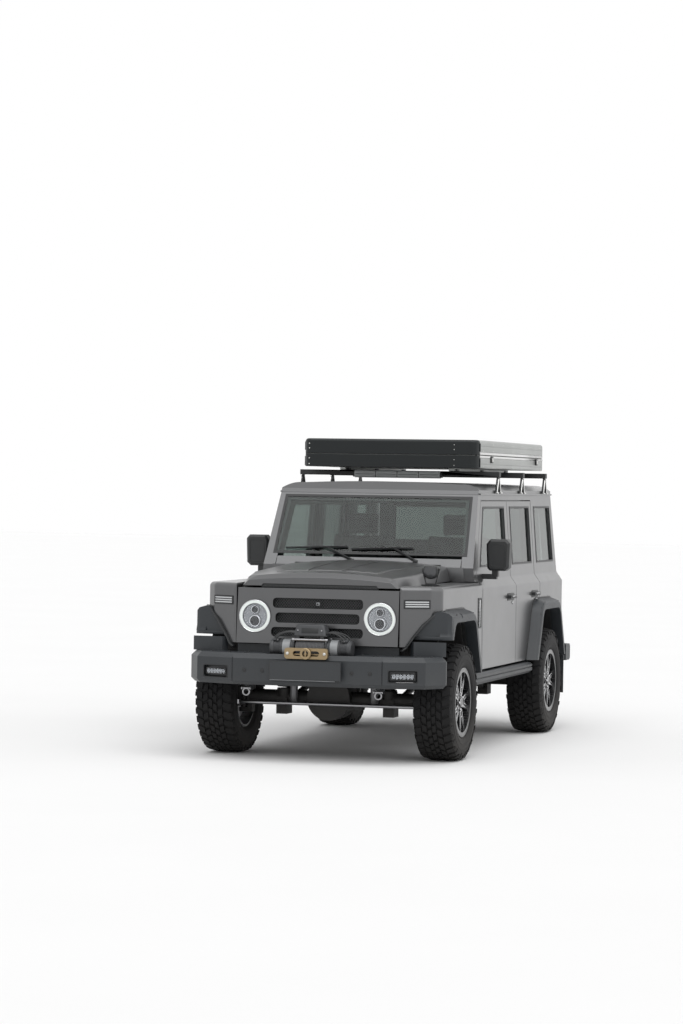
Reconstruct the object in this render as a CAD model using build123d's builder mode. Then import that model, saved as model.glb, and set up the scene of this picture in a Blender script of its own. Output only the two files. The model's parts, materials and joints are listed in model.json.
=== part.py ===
from build123d import *
import math
import os

os.makedirs("parts", exist_ok=True)

# Lifted off-road 4x4, millimetres. Front faces -Y, +X is the vehicle's left, +Z is up.
# The origin is on the ground under the middle of the whole outline.

# Stance and wheels
wheelbase = 2860
track = 1605
tyre_diameter = 828
tyre_width = 285
rim_seat_radius = 229
kingpin_offset = 102
steering_arm = 155

# Body shell
body_half_width = 860
shoulder_half_width = 812
gutter_half_width = 765
flare_reach = 85
sill_z = 600
waist_z = 1195
shoulder_z = 1262
gutter_z = 1883
shoulder_round = 34
roof_crown_z = 1975
skin = 45
frame_depth = 90
shut_gap = 7
floor_z = 690
floor_thickness = 30
rear_lean = 70

# Lengths from the front axle
front_reach = 814
panel_top_y_offset = -511
panel_foot_y_offset = -542
panel_back_offset = -471
bumper_back = -486
wing_rear_offset = 822
side_front_offset = 828
door_front_offset = 850
pillar_offset = 1935
screen_foot_offset = 799
screen_foot_z = 1433
screen_top_offset = 1031
screen_top_z = 1864
screen_foot_half_width = 740
screen_top_half_width = 719
glass = 6

# Lengths from the rear axle
door_rear_offset = -95
body_rear_offset = 733
spare_stand_off = 30

# Roof rack and tent
rack_rise = 177
rack_bar_height = 40
rack_bar_end = 790
tent_half_width = 685
tent_front_offset = 1340
tent_rear_offset = 755
tent_channel_height = 23
tent_base_height = 97
tent_lid_gap = 5
tent_lid_height = 112
tent_wall = 24

overall_length = front_reach + wheelbase + body_rear_offset + spare_stand_off + tyre_width
front_axle_y = front_reach - overall_length / 2
rear_axle_y = front_axle_y + wheelbase
body_rear_y = rear_axle_y + body_rear_offset
axle_z = tyre_diameter / 2
wheel_x = track / 2
kingpin_x = wheel_x - kingpin_offset
side_inner = body_half_width - frame_depth

flare_x = body_half_width + flare_reach
reach_x = 2 * body_half_width

left = (1, 0, 0)
back = (0, 1, 0)
upward = (0, 0, 1)


def side_face(points, x=0):
    """Closed outline seen from the side, points as (y, z)."""
    with BuildSketch(Plane.YZ.offset(x)) as outline:
        with BuildLine():
            Polyline(*points, close=True)
        make_face()
    return outline.sketch


def front_face(points, y=0):
    """Closed outline seen from the front, points as (x, z)."""
    with BuildSketch(Plane.XZ.offset(-y)) as outline:
        with BuildLine():
            Polyline(*points, close=True)
        make_face()
    return outline.sketch


def plan_face(points, z=0):
    """Closed outline seen from above, points as (x, y)."""
    with BuildSketch(Plane.XY.offset(z)) as outline:
        with BuildLine():
            Polyline(*points, close=True)
        make_face()
    return outline.sketch


def block(x_range, y_range, z_range, mode=Mode.ADD):
    """A box between two values along each axis."""
    spans = [sorted(span) for span in (x_range, y_range, z_range)]
    centre = [(low + high) / 2 for low, high in spans]
    size = [high - low for low, high in spans]
    with Locations(tuple(centre)):
        Box(*size, mode=mode)


def rod(start, end, radius, mode=Mode.ADD):
    """A round bar from one point to another."""
    run = Vector(*end) - Vector(*start)
    with BuildSketch(Plane(origin=start, z_dir=run)) as section:
        Circle(radius)
    extrude(section.sketch, amount=run.length, dir=run, mode=mode)


def on_side(piece, side):
    """A piece made for the left, or its mirror image for the right."""
    return piece if side > 0 else mirror(piece, about=Plane.YZ)


def keep(piece, name):
    """Label one finished sub-part and write it out."""
    piece.label = name
    export_step(piece, f"parts/{name}.step")


# Ladder frame: two kicked rails, tube cross-members and body mounts
rail_outer = 430
rail_width = 80
rail_height = 110
rail_front_z = 650
rail_mid_z = 545
rail_rear_z = 575
rail_front_y = front_axle_y + bumper_back
rail_rear_y = body_rear_y - 90
rail_breaks = [
    # y, z of the underside
    (rail_front_y, rail_front_z),
    (front_axle_y + 420, rail_front_z),
    (front_axle_y + 720, rail_mid_z),
    (rear_axle_y - 700, rail_mid_z),
    (rear_axle_y - 420, rail_rear_z),
    (rail_rear_y, rail_rear_z),
]
rail_top = [(y, z + rail_height) for y, z in reversed(rail_breaks)]
crossmembers = [
    # y, z of the middle, radius
    (rail_front_y + 60, rail_front_z + 55, 38),
    (front_axle_y + 1400, rail_mid_z + 78, 28),
    (rear_axle_y - 900, rail_mid_z + 78, 28),
    (rear_axle_y - 380, rail_rear_z + 80, 28),
    (rail_rear_y - 45, rail_rear_z + 55, 38),
]
body_mounts = [
    # y, z of the rail top there
    (front_axle_y + 1000, rail_mid_z + rail_height),
    (front_axle_y + 1800, rail_mid_z + rail_height),
    (rail_rear_y - 120, rail_rear_z + rail_height),
]
with BuildPart() as ladder_frame:
    extrude(side_face(rail_breaks + rail_top, rail_outer - rail_width), amount=rail_width, dir=left)
    for mount_y, mount_z in body_mounts:
        rod((rail_outer - 40, mount_y, mount_z - 5), (rail_outer - 40, mount_y, floor_z), 34)
    mirror(about=Plane.YZ)
    for cross_y, cross_z, cross_radius in crossmembers:
        reach = rail_outer - rail_width / 2
        rod((-reach, cross_y, cross_z), (reach, cross_y, cross_z), cross_radius)
keep(ladder_frame.part, "ladder_frame")

# Engine with gearbox, transfer box and propshafts
engine_half_width = 215
diff_offset = -35
diff_radius = 159
diff_depth = 105
pinion_reach = 230
shaft_radius = 32
yoke_length = 50
transfer_z = 560
with BuildPart() as engine:
    block((-engine_half_width, engine_half_width),
          (front_axle_y - 330, front_axle_y + 690), (620, 1130))
    block((-150, 150), (front_axle_y + 600, front_axle_y + 1080), (490, 680))
    block((-240, 120), (front_axle_y + 1080, front_axle_y + 1330), (480, 670))
    for nose, box in (
        ((diff_offset, front_axle_y + pinion_reach, axle_z + 20),
         (diff_offset - 165, front_axle_y + 1100, transfer_z - 20)),
        ((0, rear_axle_y - pinion_reach, axle_z + 20), (0, front_axle_y + 1300, transfer_z)),
    ):
        toward = yoke_length if box[1] > nose[1] else -yoke_length
        joint = (nose[0], nose[1] + toward, nose[2])
        rod(nose, joint, 46)
        rod((joint[0], joint[1] - toward * 0.3, joint[2]), box, shaft_radius)
keep(engine.part, "engine")

# Front axle: tube, differential, pinion nose, brackets and kingpin forks
tube_radius = 47
fork_half_height = 118
fork_thickness = 30
fork_half_width = 34
fork_reach = 40
fork_root = 640
pin_radius = 12
bracket_x = 398
bracket_half_width = 40
bracket_foot_z = 290
spring_x = rail_outer - rail_width / 2
coil_radius = 58
seat_height = 8
arm_radius = 24
arm_run = 880
eye_radius = 30


def axle_fittings(axle_y, forward):
    """Spring seats, hanging brackets and guide arms of one axle."""
    for side in (-1, 1):
        rod((side * spring_x, axle_y, axle_z),
            (side * spring_x, axle_y, axle_z + tube_radius + seat_height), coil_radius)
        block((side * (bracket_x - bracket_half_width), side * (bracket_x + bracket_half_width)),
              (axle_y - forward * 55, axle_y + forward * 75), (bracket_foot_z, axle_z))
        eye = (side * bracket_x, axle_y + forward * arm_run, rail_mid_z - eye_radius)
        rod((side * bracket_x, axle_y + forward * 40, bracket_foot_z + 60), eye, arm_radius)
        rod((eye[0] - 28, eye[1], eye[2]), (eye[0] + 28, eye[1], eye[2]), eye_radius)


with BuildPart() as front_axle:
    rod((-fork_root, front_axle_y, axle_z), (fork_root, front_axle_y, axle_z), tube_radius)
    rod((diff_offset, front_axle_y - diff_depth, axle_z),
        (diff_offset, front_axle_y + diff_depth, axle_z), diff_radius)
    rod((diff_offset, front_axle_y, axle_z + 20),
        (diff_offset, front_axle_y + pinion_reach, axle_z + 20), 62)
    for side in (-1, 1):
        block((side * (fork_root - 12), side * (kingpin_x - fork_reach)),
              (front_axle_y - fork_half_width, front_axle_y + fork_half_width),
              (axle_z - fork_half_height, axle_z + fork_half_height))
        for low in (-fork_half_height, fork_half_height - fork_thickness):
            block((side * (kingpin_x - fork_reach - 6), side * kingpin_x),
                  (front_axle_y - fork_half_width, front_axle_y + fork_half_width),
                  (axle_z + low, axle_z + low + fork_thickness))
            rod((side * kingpin_x, front_axle_y, axle_z + low),
                (side * kingpin_x, front_axle_y, axle_z + low + fork_thickness), fork_half_width)
        rod((side * kingpin_x, front_axle_y, axle_z - 150),
            (side * kingpin_x, front_axle_y, axle_z + 150), pin_radius + 0.5, Mode.SUBTRACT)
    axle_fittings(front_axle_y, 1)
keep(front_axle.part, "front_axle")

# Wheel hub details shared by the knuckles, the rear axle and the rims, from the wheel's middle
stub_radius = 25
stub_end = -33
disc_inner = -62
disc_outer = -38
disc_radius = 165
hub_clearance = 1
caliper_gap = 2
caliper_low = 105
caliper_high = 188
caliper_half_height = 52
barrel_inner = 214
boss_face = 40


def caliper(side, wheel_y, rearward):
    """Brake caliper that bridges the disc on one side of the hub."""
    inner = side * (wheel_x + disc_inner - 16)
    outer = side * (wheel_x + disc_outer + 14)
    edge = disc_radius + 4
    block((inner, outer), (wheel_y + rearward * caliper_low, wheel_y + rearward * caliper_high),
          (axle_z - caliper_half_height, axle_z + caliper_half_height))
    gap_in = side * (wheel_x + disc_inner - caliper_gap)
    gap_out = side * (wheel_x + disc_outer + caliper_gap)
    block((gap_in, gap_out), (wheel_y + rearward * (caliper_low - 5), wheel_y + rearward * edge),
          (axle_z - 2 * caliper_half_height, axle_z + 2 * caliper_half_height), Mode.SUBTRACT)


# Steering knuckles, one a side
rod_drop = 38
arm_top = 54
arm_thickness = 16
arm_half_width = 12
for side, side_name in ((1, "left"), (-1, "right")):
    with BuildPart() as knuckle:
        block((side * kingpin_x, side * (wheel_x + disc_inner - 6)),
              (front_axle_y - 48, front_axle_y + 48), (axle_z - 72, axle_z + 72))
        rod((side * kingpin_x, front_axle_y, axle_z - fork_half_height + fork_thickness + 2),
            (side * kingpin_x, front_axle_y, axle_z + fork_half_height - fork_thickness - 2), 24)
        rod((side * kingpin_x, front_axle_y, axle_z - fork_half_height),
            (side * kingpin_x, front_axle_y, axle_z + fork_half_height), pin_radius)
        rod((side * (wheel_x + disc_inner - 10), front_axle_y, axle_z),
            (side * (wheel_x + stub_end), front_axle_y, axle_z), stub_radius)
        block((side * (kingpin_x + 8), side * (wheel_x + disc_inner - 6)),
              (front_axle_y + 40, front_axle_y + caliper_low + 10), (axle_z - 40, axle_z + 40))
        caliper(side, front_axle_y, 1)
        block((side * (kingpin_x - arm_half_width), side * (kingpin_x + arm_half_width)),
              (front_axle_y - steering_arm, front_axle_y - 40),
              (axle_z - arm_top - arm_thickness, axle_z - arm_top))
        rod((side * kingpin_x, front_axle_y - steering_arm, axle_z - arm_top - arm_thickness),
            (side * kingpin_x, front_axle_y - steering_arm, axle_z - arm_top), 20)
        rod((side * kingpin_x, front_axle_y - steering_arm, axle_z - arm_top - 4),
            (side * kingpin_x, front_axle_y - steering_arm, axle_z - rod_drop + 16), 8)
    keep(knuckle.part, f"knuckle_{side_name}")

# Track rod with an eye at each steering arm
track_rod_radius = 13
with BuildPart() as track_rod:
    rod((-kingpin_x, front_axle_y - steering_arm, axle_z - rod_drop),
        (kingpin_x, front_axle_y - steering_arm, axle_z - rod_drop), track_rod_radius)
    for side in (-1, 1):
        rod((side * kingpin_x, front_axle_y - steering_arm, axle_z - rod_drop - 15),
            (side * kingpin_x, front_axle_y - steering_arm, axle_z - rod_drop + 15), 20)
        rod((side * kingpin_x, front_axle_y - steering_arm, axle_z - rod_drop - 20),
            (side * kingpin_x, front_axle_y - steering_arm, axle_z - rod_drop + 20), 8.5, Mode.SUBTRACT)
keep(track_rod.part, "track_rod")

# Rear axle with its calipers
with BuildPart() as rear_axle:
    reach = wheel_x + disc_inner - 6
    rod((-reach, rear_axle_y, axle_z), (reach, rear_axle_y, axle_z), tube_radius)
    rod((0, rear_axle_y - diff_depth, axle_z), (0, rear_axle_y + diff_depth, axle_z), diff_radius)
    rod((0, rear_axle_y, axle_z + 20), (0, rear_axle_y - pinion_reach, axle_z + 20), 62)
    rod((-(wheel_x + stub_end), rear_axle_y, axle_z), (wheel_x + stub_end, rear_axle_y, axle_z), stub_radius)
    for side in (-1, 1):
        block((side * (reach - 24), side * reach),
              (rear_axle_y - 40, rear_axle_y + caliper_low + 10), (axle_z - 40, axle_z + 40))
        caliper(side, rear_axle_y, 1)
    axle_fittings(rear_axle_y, -1)
keep(rear_axle.part, "rear_axle")

# Coil springs and dampers between the axles and the frame
damper_x = 300
damper_radius = 30
with BuildPart() as suspension:
    for axle_y, seat_z, forward in ((front_axle_y, rail_front_z, 1), (rear_axle_y, rail_rear_z, -1)):
        rod((spring_x, axle_y, axle_z + tube_radius + seat_height), (spring_x, axle_y, seat_z), coil_radius)
        damper_y = axle_y - forward * (tube_radius + damper_radius)
        rod((damper_x, damper_y, axle_z - 40), (damper_x, damper_y, seat_z + 50), damper_radius)
        block((damper_x, rail_outer - rail_width), (damper_y - 18, damper_y + 18), (seat_z + 15, seat_z + 50))
    mirror(about=Plane.YZ)
keep(suspension.part, "suspension")

# Fuel tank between the rails
with BuildPart() as fuel_tank:
    block((-rail_outer + rail_width, -70), (rear_axle_y - 860, rear_axle_y - 415), (470, floor_z - 12))
    fillet(fuel_tank.edges().filter_by(Axis.Y), 30)
keep(fuel_tank.part, "fuel_tank")

# Exhaust: pipe over the rear axle with one silencer
exhaust_radius = 30
exhaust_route = [
    (185, front_axle_y + 690, 645),
    (185, front_axle_y + 850, 645),
    (225, front_axle_y + 1150, 520),
    (225, rear_axle_y - 700, 520),
    (225, rear_axle_y - 200, 620),
    (225, rear_axle_y + 200, 620),
    (265, body_rear_y - 60, 520),
]
with BuildPart() as exhaust:
    with BuildLine() as exhaust_path:
        FilletPolyline(*exhaust_route, radius=90)
    with BuildSketch(Plane(origin=exhaust_path.line @ 0, z_dir=exhaust_path.line % 0)):
        Circle(exhaust_radius)
    sweep()
    block((130, 325), (rear_axle_y - 1250, rear_axle_y - 780), (440, 565))
keep(exhaust.part, "exhaust")

# Wheel arch openings, shared by wings, flares, sides, doors and liners
arch_top_z = 988
arch_foot_z = sill_z
arch_top_half = 290
arch_foot_half = 470
arch_slope = (arch_foot_half - arch_top_half) / (arch_top_z - arch_foot_z)
arch_corner = 95
arch_corner_share = 0.62


def arch_face(centre_y, grow, foot_z, x=0):
    """Wheel opening seen from the side, grown outwards, with round top corners."""
    top = arch_top_z + grow
    half_top = arch_top_half + grow * arch_corner_share
    half_foot = half_top + (top - foot_z) * arch_slope
    with BuildSketch(Plane.YZ.offset(x)) as outline:
        with BuildLine():
            Polyline(
                (centre_y - half_foot, foot_z), (centre_y - half_top, top),
                (centre_y + half_top, top), (centre_y + half_foot, foot_z), close=True,
            )
        make_face()
        fillet(outline.vertices().group_by(Axis.Y)[-1], arch_corner + grow)
    return outline.sketch


# Side wall of the body in section: outer line by height
side_line = [
    # x, z
    (body_half_width, sill_z),
    (body_half_width, waist_z),
    (shoulder_half_width, shoulder_z),
    (gutter_half_width, gutter_z),
]


def side_layer(outer_depth, inner_depth):
    """Section of the side wall between two depths behind its outer face."""
    outer = [(x - outer_depth, z) for x, z in side_line]
    inner = [(x - inner_depth, z) for x, z in reversed(side_line)]
    with BuildSketch(Plane.XZ.offset(-front_axle_y)) as outline:
        with BuildLine():
            Polyline(*outer, *inner, close=True)
        make_face()
        for height in (waist_z, shoulder_z):
            fillet(outline.vertices().filter_by_position(Axis.Y, height - 1, height + 1), shoulder_round)
    return outline.sketch


def side_x(z):
    """Half-width of the body's outer face at a height above the shoulder."""
    share = (z - shoulder_z) / (gutter_z - shoulder_z)
    return shoulder_half_width + share * (gutter_half_width - shoulder_half_width)


screen_slope = (screen_top_offset - screen_foot_offset) / (screen_top_z - screen_foot_z)


def screen_y(z):
    """Front face of the windscreen and its pillars at a height."""
    return front_axle_y + screen_foot_offset + (z - screen_foot_z) * screen_slope


def rear_y(z):
    """Rear face of the body at a height."""
    lean = max(0, z - shoulder_z) / (gutter_z - shoulder_z) * rear_lean
    return body_rear_y - lean


wing_top_z = 1240
cowl_front_y = front_axle_y + 750
cowl_front_z = 1345
side_outline = [
    (front_axle_y + side_front_offset, sill_z),
    (front_axle_y + side_front_offset, wing_top_z + shut_gap),
    (cowl_front_y, wing_top_z + shut_gap),
    (cowl_front_y, cowl_front_z),
    (screen_y(screen_foot_z), screen_foot_z),
    (screen_y(gutter_z), gutter_z),
    (rear_y(gutter_z), gutter_z),
    (body_rear_y, shoulder_z),
    (body_rear_y, sill_z),
]

# Door outlines seen from the side, with the wheel opening taken off the rear one
door_foot_z = sill_z
door_head_z = 1838
window_foot_z = 1355
window_head_z = 1790
door_front_y = front_axle_y + door_front_offset
pillar_y = front_axle_y + pillar_offset
door_rear_y = rear_axle_y + door_rear_offset
front_head_y = screen_y(door_head_z) + 95
flare_grow = 82


def door_outline(name, inset):
    """Outline of a door, moved inwards by inset."""
    head = door_head_z - inset
    foot = door_foot_z + inset
    if name == "front":
        return [
            (door_front_y + inset, foot),
            (door_front_y + inset, window_foot_z - 40),
            (front_head_y + inset, head),
            (pillar_y - shut_gap / 2 - inset, head),
            (pillar_y - shut_gap / 2 - inset, foot),
        ]
    return [
        (pillar_y + shut_gap / 2 + inset, foot),
        (pillar_y + shut_gap / 2 + inset, head),
        (door_rear_y - inset, head),
        (door_rear_y - inset, foot),
    ]


window_outlines = {
    "front": [
        (door_front_y + 120, window_foot_z),
        (front_head_y + 55, window_head_z),
        (pillar_y - 105, window_head_z),
        (pillar_y - 105, window_foot_z),
    ],
    "rear": [
        (pillar_y + 95, window_foot_z),
        (pillar_y + 95, window_head_z),
        (door_rear_y - 80, window_head_z),
        (door_rear_y - 80, window_foot_z),
    ],
    "quarter": [
        (door_rear_y + 110, window_foot_z),
        (door_rear_y + 110, window_head_z),
        (rear_y(window_head_z) - 95, window_head_z),
        (rear_y(window_foot_z) - 110, window_foot_z),
    ],
}
body_run = body_rear_y - front_axle_y

# Tailgate opening, seen from behind
gate_side = 80
gate_half_width = side_inner - gate_side
gate_foot_z = 690
gate_head_z = 1836
gate_top_half_width = 668
gate_gap = 12
gate_outline = [
    (-gate_half_width, gate_foot_z),
    (-gate_half_width, shoulder_z),
    (-gate_top_half_width, gate_head_z),
    (gate_top_half_width, gate_head_z),
    (gate_half_width, shoulder_z),
    (gate_half_width, gate_foot_z),
]
rear_wall_outline = [
    # y, z of a wall as thick as the tailgate, following the lean
    (body_rear_y, sill_z),
    (body_rear_y, shoulder_z),
    (rear_y(gutter_z), gutter_z),
    (rear_y(gutter_z) - skin, gutter_z),
    (body_rear_y - skin, shoulder_z),
    (body_rear_y - skin, sill_z),
]

# Windscreen plane: origin at the foot of the glass, normal to the outside
screen_run = math.hypot(screen_top_offset - screen_foot_offset, screen_top_z - screen_foot_z)
screen_normal = (0, -(screen_top_z - screen_foot_z), screen_top_offset - screen_foot_offset)
screen_plane = Plane(origin=(0, screen_y(screen_foot_z), screen_foot_z), x_dir=left, z_dir=screen_normal)


def screen_face(grow):
    """Windscreen outline in its own plane, grown by a clearance."""
    with BuildSketch(screen_plane) as outline:
        with BuildLine():
            Polyline(
                (-screen_foot_half_width - grow, -grow),
                (-screen_top_half_width - grow, screen_run + grow),
                (screen_top_half_width + grow, screen_run + grow),
                (screen_foot_half_width + grow, -grow),
                close=True,
            )
        make_face()
    return outline.sketch


# Body shell: both sides with their pillars, the rear wall and the header over the windscreen
rebate = 38
with BuildPart() as body_shell:
    extrude(side_layer(0, frame_depth), amount=body_run, dir=back)
    extrude(side_face(side_outline), amount=reach_x, dir=left, mode=Mode.INTERSECT)
    # Rear arch
    extrude(arch_face(rear_axle_y, 0, sill_z - 1), amount=reach_x, dir=left, mode=Mode.SUBTRACT)
    for name in ("front", "rear"):
        extrude(side_face(door_outline(name, rebate)), amount=reach_x, dir=left, mode=Mode.SUBTRACT)
    extrude(side_face(window_outlines["quarter"]), amount=reach_x, dir=left, mode=Mode.SUBTRACT)
    mirror(about=Plane.YZ)
with BuildPart() as door_space:
    extrude(side_layer(-40, skin + 2), amount=body_run, dir=back)
    with BuildSketch(Plane.YZ) as both_doors:
        with BuildLine():
            Polyline(*door_outline("front", -shut_gap), close=True)
        make_face()
        with BuildLine():
            Polyline(*door_outline("rear", -shut_gap), close=True)
        make_face()
    extrude(both_doors.sketch, amount=reach_x, dir=left, mode=Mode.INTERSECT)
    extrude(arch_face(rear_axle_y, flare_grow, sill_z - 1), amount=reach_x, dir=left,
            mode=Mode.SUBTRACT)
    mirror(about=Plane.YZ)
with BuildPart() as rear_wall:
    extrude(side_face(rear_wall_outline, -side_inner), amount=2 * side_inner, dir=left)
    with BuildSketch(Plane.XZ.offset(-(body_rear_y - 400))) as gate_opening:
        with BuildLine():
            Polyline(*gate_outline, close=True)
        make_face()
        offset(amount=gate_gap)
    extrude(gate_opening.sketch, amount=800, dir=back, mode=Mode.SUBTRACT)
    # The wall ends where the sides begin
    extrude(front_face([
        (-side_inner, sill_z), (-side_inner, waist_z),
        (-shoulder_half_width + frame_depth, shoulder_z), (-gutter_half_width + frame_depth, gutter_z),
        (gutter_half_width - frame_depth, gutter_z), (shoulder_half_width - frame_depth, shoulder_z),
        (side_inner, waist_z), (side_inner, sill_z),
    ], body_rear_y - 400), amount=800, dir=back, mode=Mode.INTERSECT)
with BuildPart() as shell:
    add(body_shell.part)
    add(door_space.part, mode=Mode.SUBTRACT)
    add(rear_wall.part)
    with BuildSketch(screen_plane):
        with Locations((0, screen_run - 6)):
            Rectangle(2 * (gutter_half_width - frame_depth + 12), 60)
    extrude(amount=-42)
    extrude(screen_face(4), amount=glass + 4, dir=[-n for n in screen_normal], mode=Mode.SUBTRACT)
    block((-reach_x, reach_x), (front_axle_y, body_rear_y), (gutter_z, gutter_z + 200), Mode.SUBTRACT)
keep(shell.part, "body_shell")

# Floor with bulkhead, cowl and rear wheel houses
well_inner = 600
well_wall = 12
bulkhead_wall = 28
bay_half_width = 640
cowl_half_width = side_x(screen_foot_z) - frame_depth
bulkhead_y = front_axle_y + side_front_offset
with BuildPart() as floor_pan:
    block((-side_inner, side_inner), (bulkhead_y, body_rear_y - skin), (floor_z, floor_z + floor_thickness))
    block((-bay_half_width, bay_half_width), (bulkhead_y - bulkhead_wall, bulkhead_y), (floor_z, cowl_front_z))
    extrude(side_face([
        (bulkhead_y, cowl_front_z - bulkhead_wall), (bulkhead_y, screen_foot_z - 25),
        (screen_y(screen_foot_z - 25), screen_foot_z - 25), (cowl_front_y, cowl_front_z),
        (cowl_front_y, cowl_front_z - bulkhead_wall),
    ], -cowl_half_width), amount=2 * cowl_half_width, dir=left)
    for side in (-1, 1):
        low, high = sorted((side * (well_inner - well_wall), side * side_inner))
        extrude(arch_face(rear_axle_y, well_wall, floor_z, low), amount=high - low, dir=left)
        low, high = sorted((side * well_inner, side * (side_inner + 1)))
        extrude(arch_face(rear_axle_y, 0, floor_z - 1, low), amount=high - low, dir=left,
                mode=Mode.SUBTRACT)
keep(floor_pan.part, "floor_pan")

# Roof: crowned shell with a gutter along each side
roof_wall = 35
roof_edge_z = 1918
roof_front_y = screen_y(gutter_z)
roof_rear_y = rear_y(gutter_z)
gutter_reach = 14
gutter_height = 13


def roof_face(inset, foot_z):
    """Roof section, closed along a foot line and moved inwards by inset."""
    half = gutter_half_width - inset
    with BuildSketch(Plane.XZ.offset(-roof_front_y)) as outline:
        with BuildLine():
            Line((-half, foot_z), (-half, roof_edge_z - inset))
            ThreePointArc(
                (-half, roof_edge_z - inset),
                (-half + 60, roof_edge_z + 32 - inset),
                (-half + 150, roof_edge_z + 42 - inset),
            )
            ThreePointArc(
                (-half + 150, roof_edge_z + 42 - inset),
                (0, roof_crown_z - inset),
                (half - 150, roof_edge_z + 42 - inset),
            )
            ThreePointArc(
                (half - 150, roof_edge_z + 42 - inset),
                (half - 60, roof_edge_z + 32 - inset),
                (half, roof_edge_z - inset),
            )
            Line((half, roof_edge_z - inset), (half, foot_z))
            Line((half, foot_z), (-half, foot_z))
        make_face()
    return outline.sketch


with BuildPart() as roof_panel:
    extrude(roof_face(0, gutter_z), amount=roof_rear_y - roof_front_y, dir=back)
    # The front edge rolls down to the windscreen
    extrude(side_face([
        (roof_front_y - 1, gutter_z), (roof_front_y + 12, gutter_z + 30), (roof_front_y + 95, roof_crown_z + 1),
        (roof_front_y - 1, roof_crown_z + 1),
    ], -reach_x), amount=2 * reach_x, dir=left, mode=Mode.SUBTRACT)
    extrude(roof_face(roof_wall, gutter_z - 1).moved(Location((0, 130, 0))),
            amount=roof_rear_y - roof_front_y - 190, dir=back, mode=Mode.SUBTRACT)
    for side in (-1, 1):
        block((side * (gutter_half_width - 5), side * (gutter_half_width + gutter_reach)),
              (roof_front_y + 20, roof_rear_y - 10), (gutter_z, gutter_z + gutter_height))
keep(roof_panel.part, "roof_panel")

# Fixed glass: windscreen and quarter windows
pane_depth = 14


def pane(name, mode=Mode.ADD):
    """Glass of one side window, lying inside the wall's thickness."""
    extrude(side_layer(pane_depth, pane_depth + glass), amount=body_run, dir=back)
    extrude(side_face(window_outlines[name]), amount=reach_x, dir=left, mode=Mode.INTERSECT)


with BuildPart() as fixed_glass:
    pane("quarter")
    mirror(about=Plane.YZ)
    extrude(screen_face(0), amount=glass, dir=[-n for n in screen_normal])
keep(fixed_glass.part, "fixed_glass")

# Doors with their glass, mirrors on the front pair; the inner part is set back from the lip
door_lip = 20
core_inset = 8


def door_core(name):
    """The door's inner part behind its lip."""
    with BuildPart() as core:
        extrude(side_layer(door_lip, skin), amount=body_run, dir=back)
        extrude(side_face(door_outline(name, core_inset)), amount=reach_x, dir=left, mode=Mode.INTERSECT)
    return core.part


handle_z = 1111
handle_half = 95
for side, side_name in ((1, "left"), (-1, "right")):
    for name, handle_y in (("front", pillar_y - 190), ("rear", door_rear_y - 185)):
        with BuildPart() as door:
            extrude(side_layer(0, door_lip), amount=body_run, dir=back)
            extrude(side_face(door_outline(name, 0)), amount=reach_x, dir=left, mode=Mode.INTERSECT)
            add(door_core(name))
            extrude(arch_face(rear_axle_y, flare_grow + shut_gap, sill_z - 1),
                    amount=reach_x, dir=left, mode=Mode.SUBTRACT)
            extrude(side_face(window_outlines[name]), amount=reach_x, dir=left, mode=Mode.SUBTRACT)
            block((body_half_width + 14, body_half_width + 28),
                  (handle_y - handle_half, handle_y + handle_half), (handle_z - 13, handle_z + 13))
            for foot_y in (handle_y - handle_half + 12, handle_y + handle_half - 12):
                block((body_half_width - 1, body_half_width + 20),
                      (foot_y - 12, foot_y + 12), (handle_z - 13, handle_z + 13))
        keep(on_side(door.part, side), f"door_{name}_{side_name}")
        with BuildPart() as door_glass:
            pane(name)
        keep(on_side(door_glass.part, side), f"glass_{name}_{side_name}")

# Mirrors on the front doors
mirror_y = front_axle_y + 1025
for side, side_name in ((1, "left"), (-1, "right")):
    with BuildPart() as door_mirror:
        with BuildSketch(Plane.XZ.offset(-(mirror_y - 40))):
            with BuildLine():
                Polyline((851, 1345), (843, 1520), (871, 1558), (996, 1558), (1021, 1530), (1015, 1350),
                         (986, 1325), (871, 1325), close=True)
            make_face()
        extrude(amount=-95)
        chamfer(door_mirror.faces().sort_by(Axis.Y)[0].edges(), 16)
        block((886, 931), (mirror_y - 20, mirror_y + 25), (1280, 1330))
        block((side_x(1262) - 20, 921), (mirror_y - 18, mirror_y + 22), (1262, 1300))
        extrude(side_layer(-300, 0), amount=body_run, dir=back, mode=Mode.INTERSECT)
    keep(on_side(door_mirror.part, side), f"mirror_{side_name}")

# Front panel with lamp holes and three grille slots
panel_half_width = 590
panel_top_z = 1208
panel_foot_z = 819
lamp_x = 457
lamp_z = 1009
lamp_radius = 114
slots = [
    # half-width, foot z, head z
    (330, 1070, 1141),
    (307, 967, 1038),
    (335, 870, 936),
]
panel_back_y = front_axle_y + panel_back_offset


def panel_y(z):
    """Outer face of the raked front panel at a height."""
    share = (z - panel_foot_z) / (panel_top_z - panel_foot_z)
    return front_axle_y + panel_foot_y_offset + share * (panel_top_y_offset - panel_foot_y_offset)


with BuildPart() as front_panel:
    extrude(side_face([
        (panel_y(panel_foot_z), panel_foot_z), (panel_y(panel_top_z), panel_top_z),
        (panel_back_y, panel_top_z), (panel_back_y, panel_foot_z),
    ], -panel_half_width), amount=2 * panel_half_width, dir=left)
    with BuildSketch(Plane.XZ.offset(-panel_back_y)):
        for half, foot, head in slots:
            with Locations((0, (foot + head) / 2)):
                RectangleRounded(2 * half, head - foot, 26)
        with Locations((-lamp_x, lamp_z), (lamp_x, lamp_z)):
            Circle(lamp_radius + 3)
    extrude(amount=200, both=True, mode=Mode.SUBTRACT)
keep(front_panel.part, "front_panel")

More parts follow.
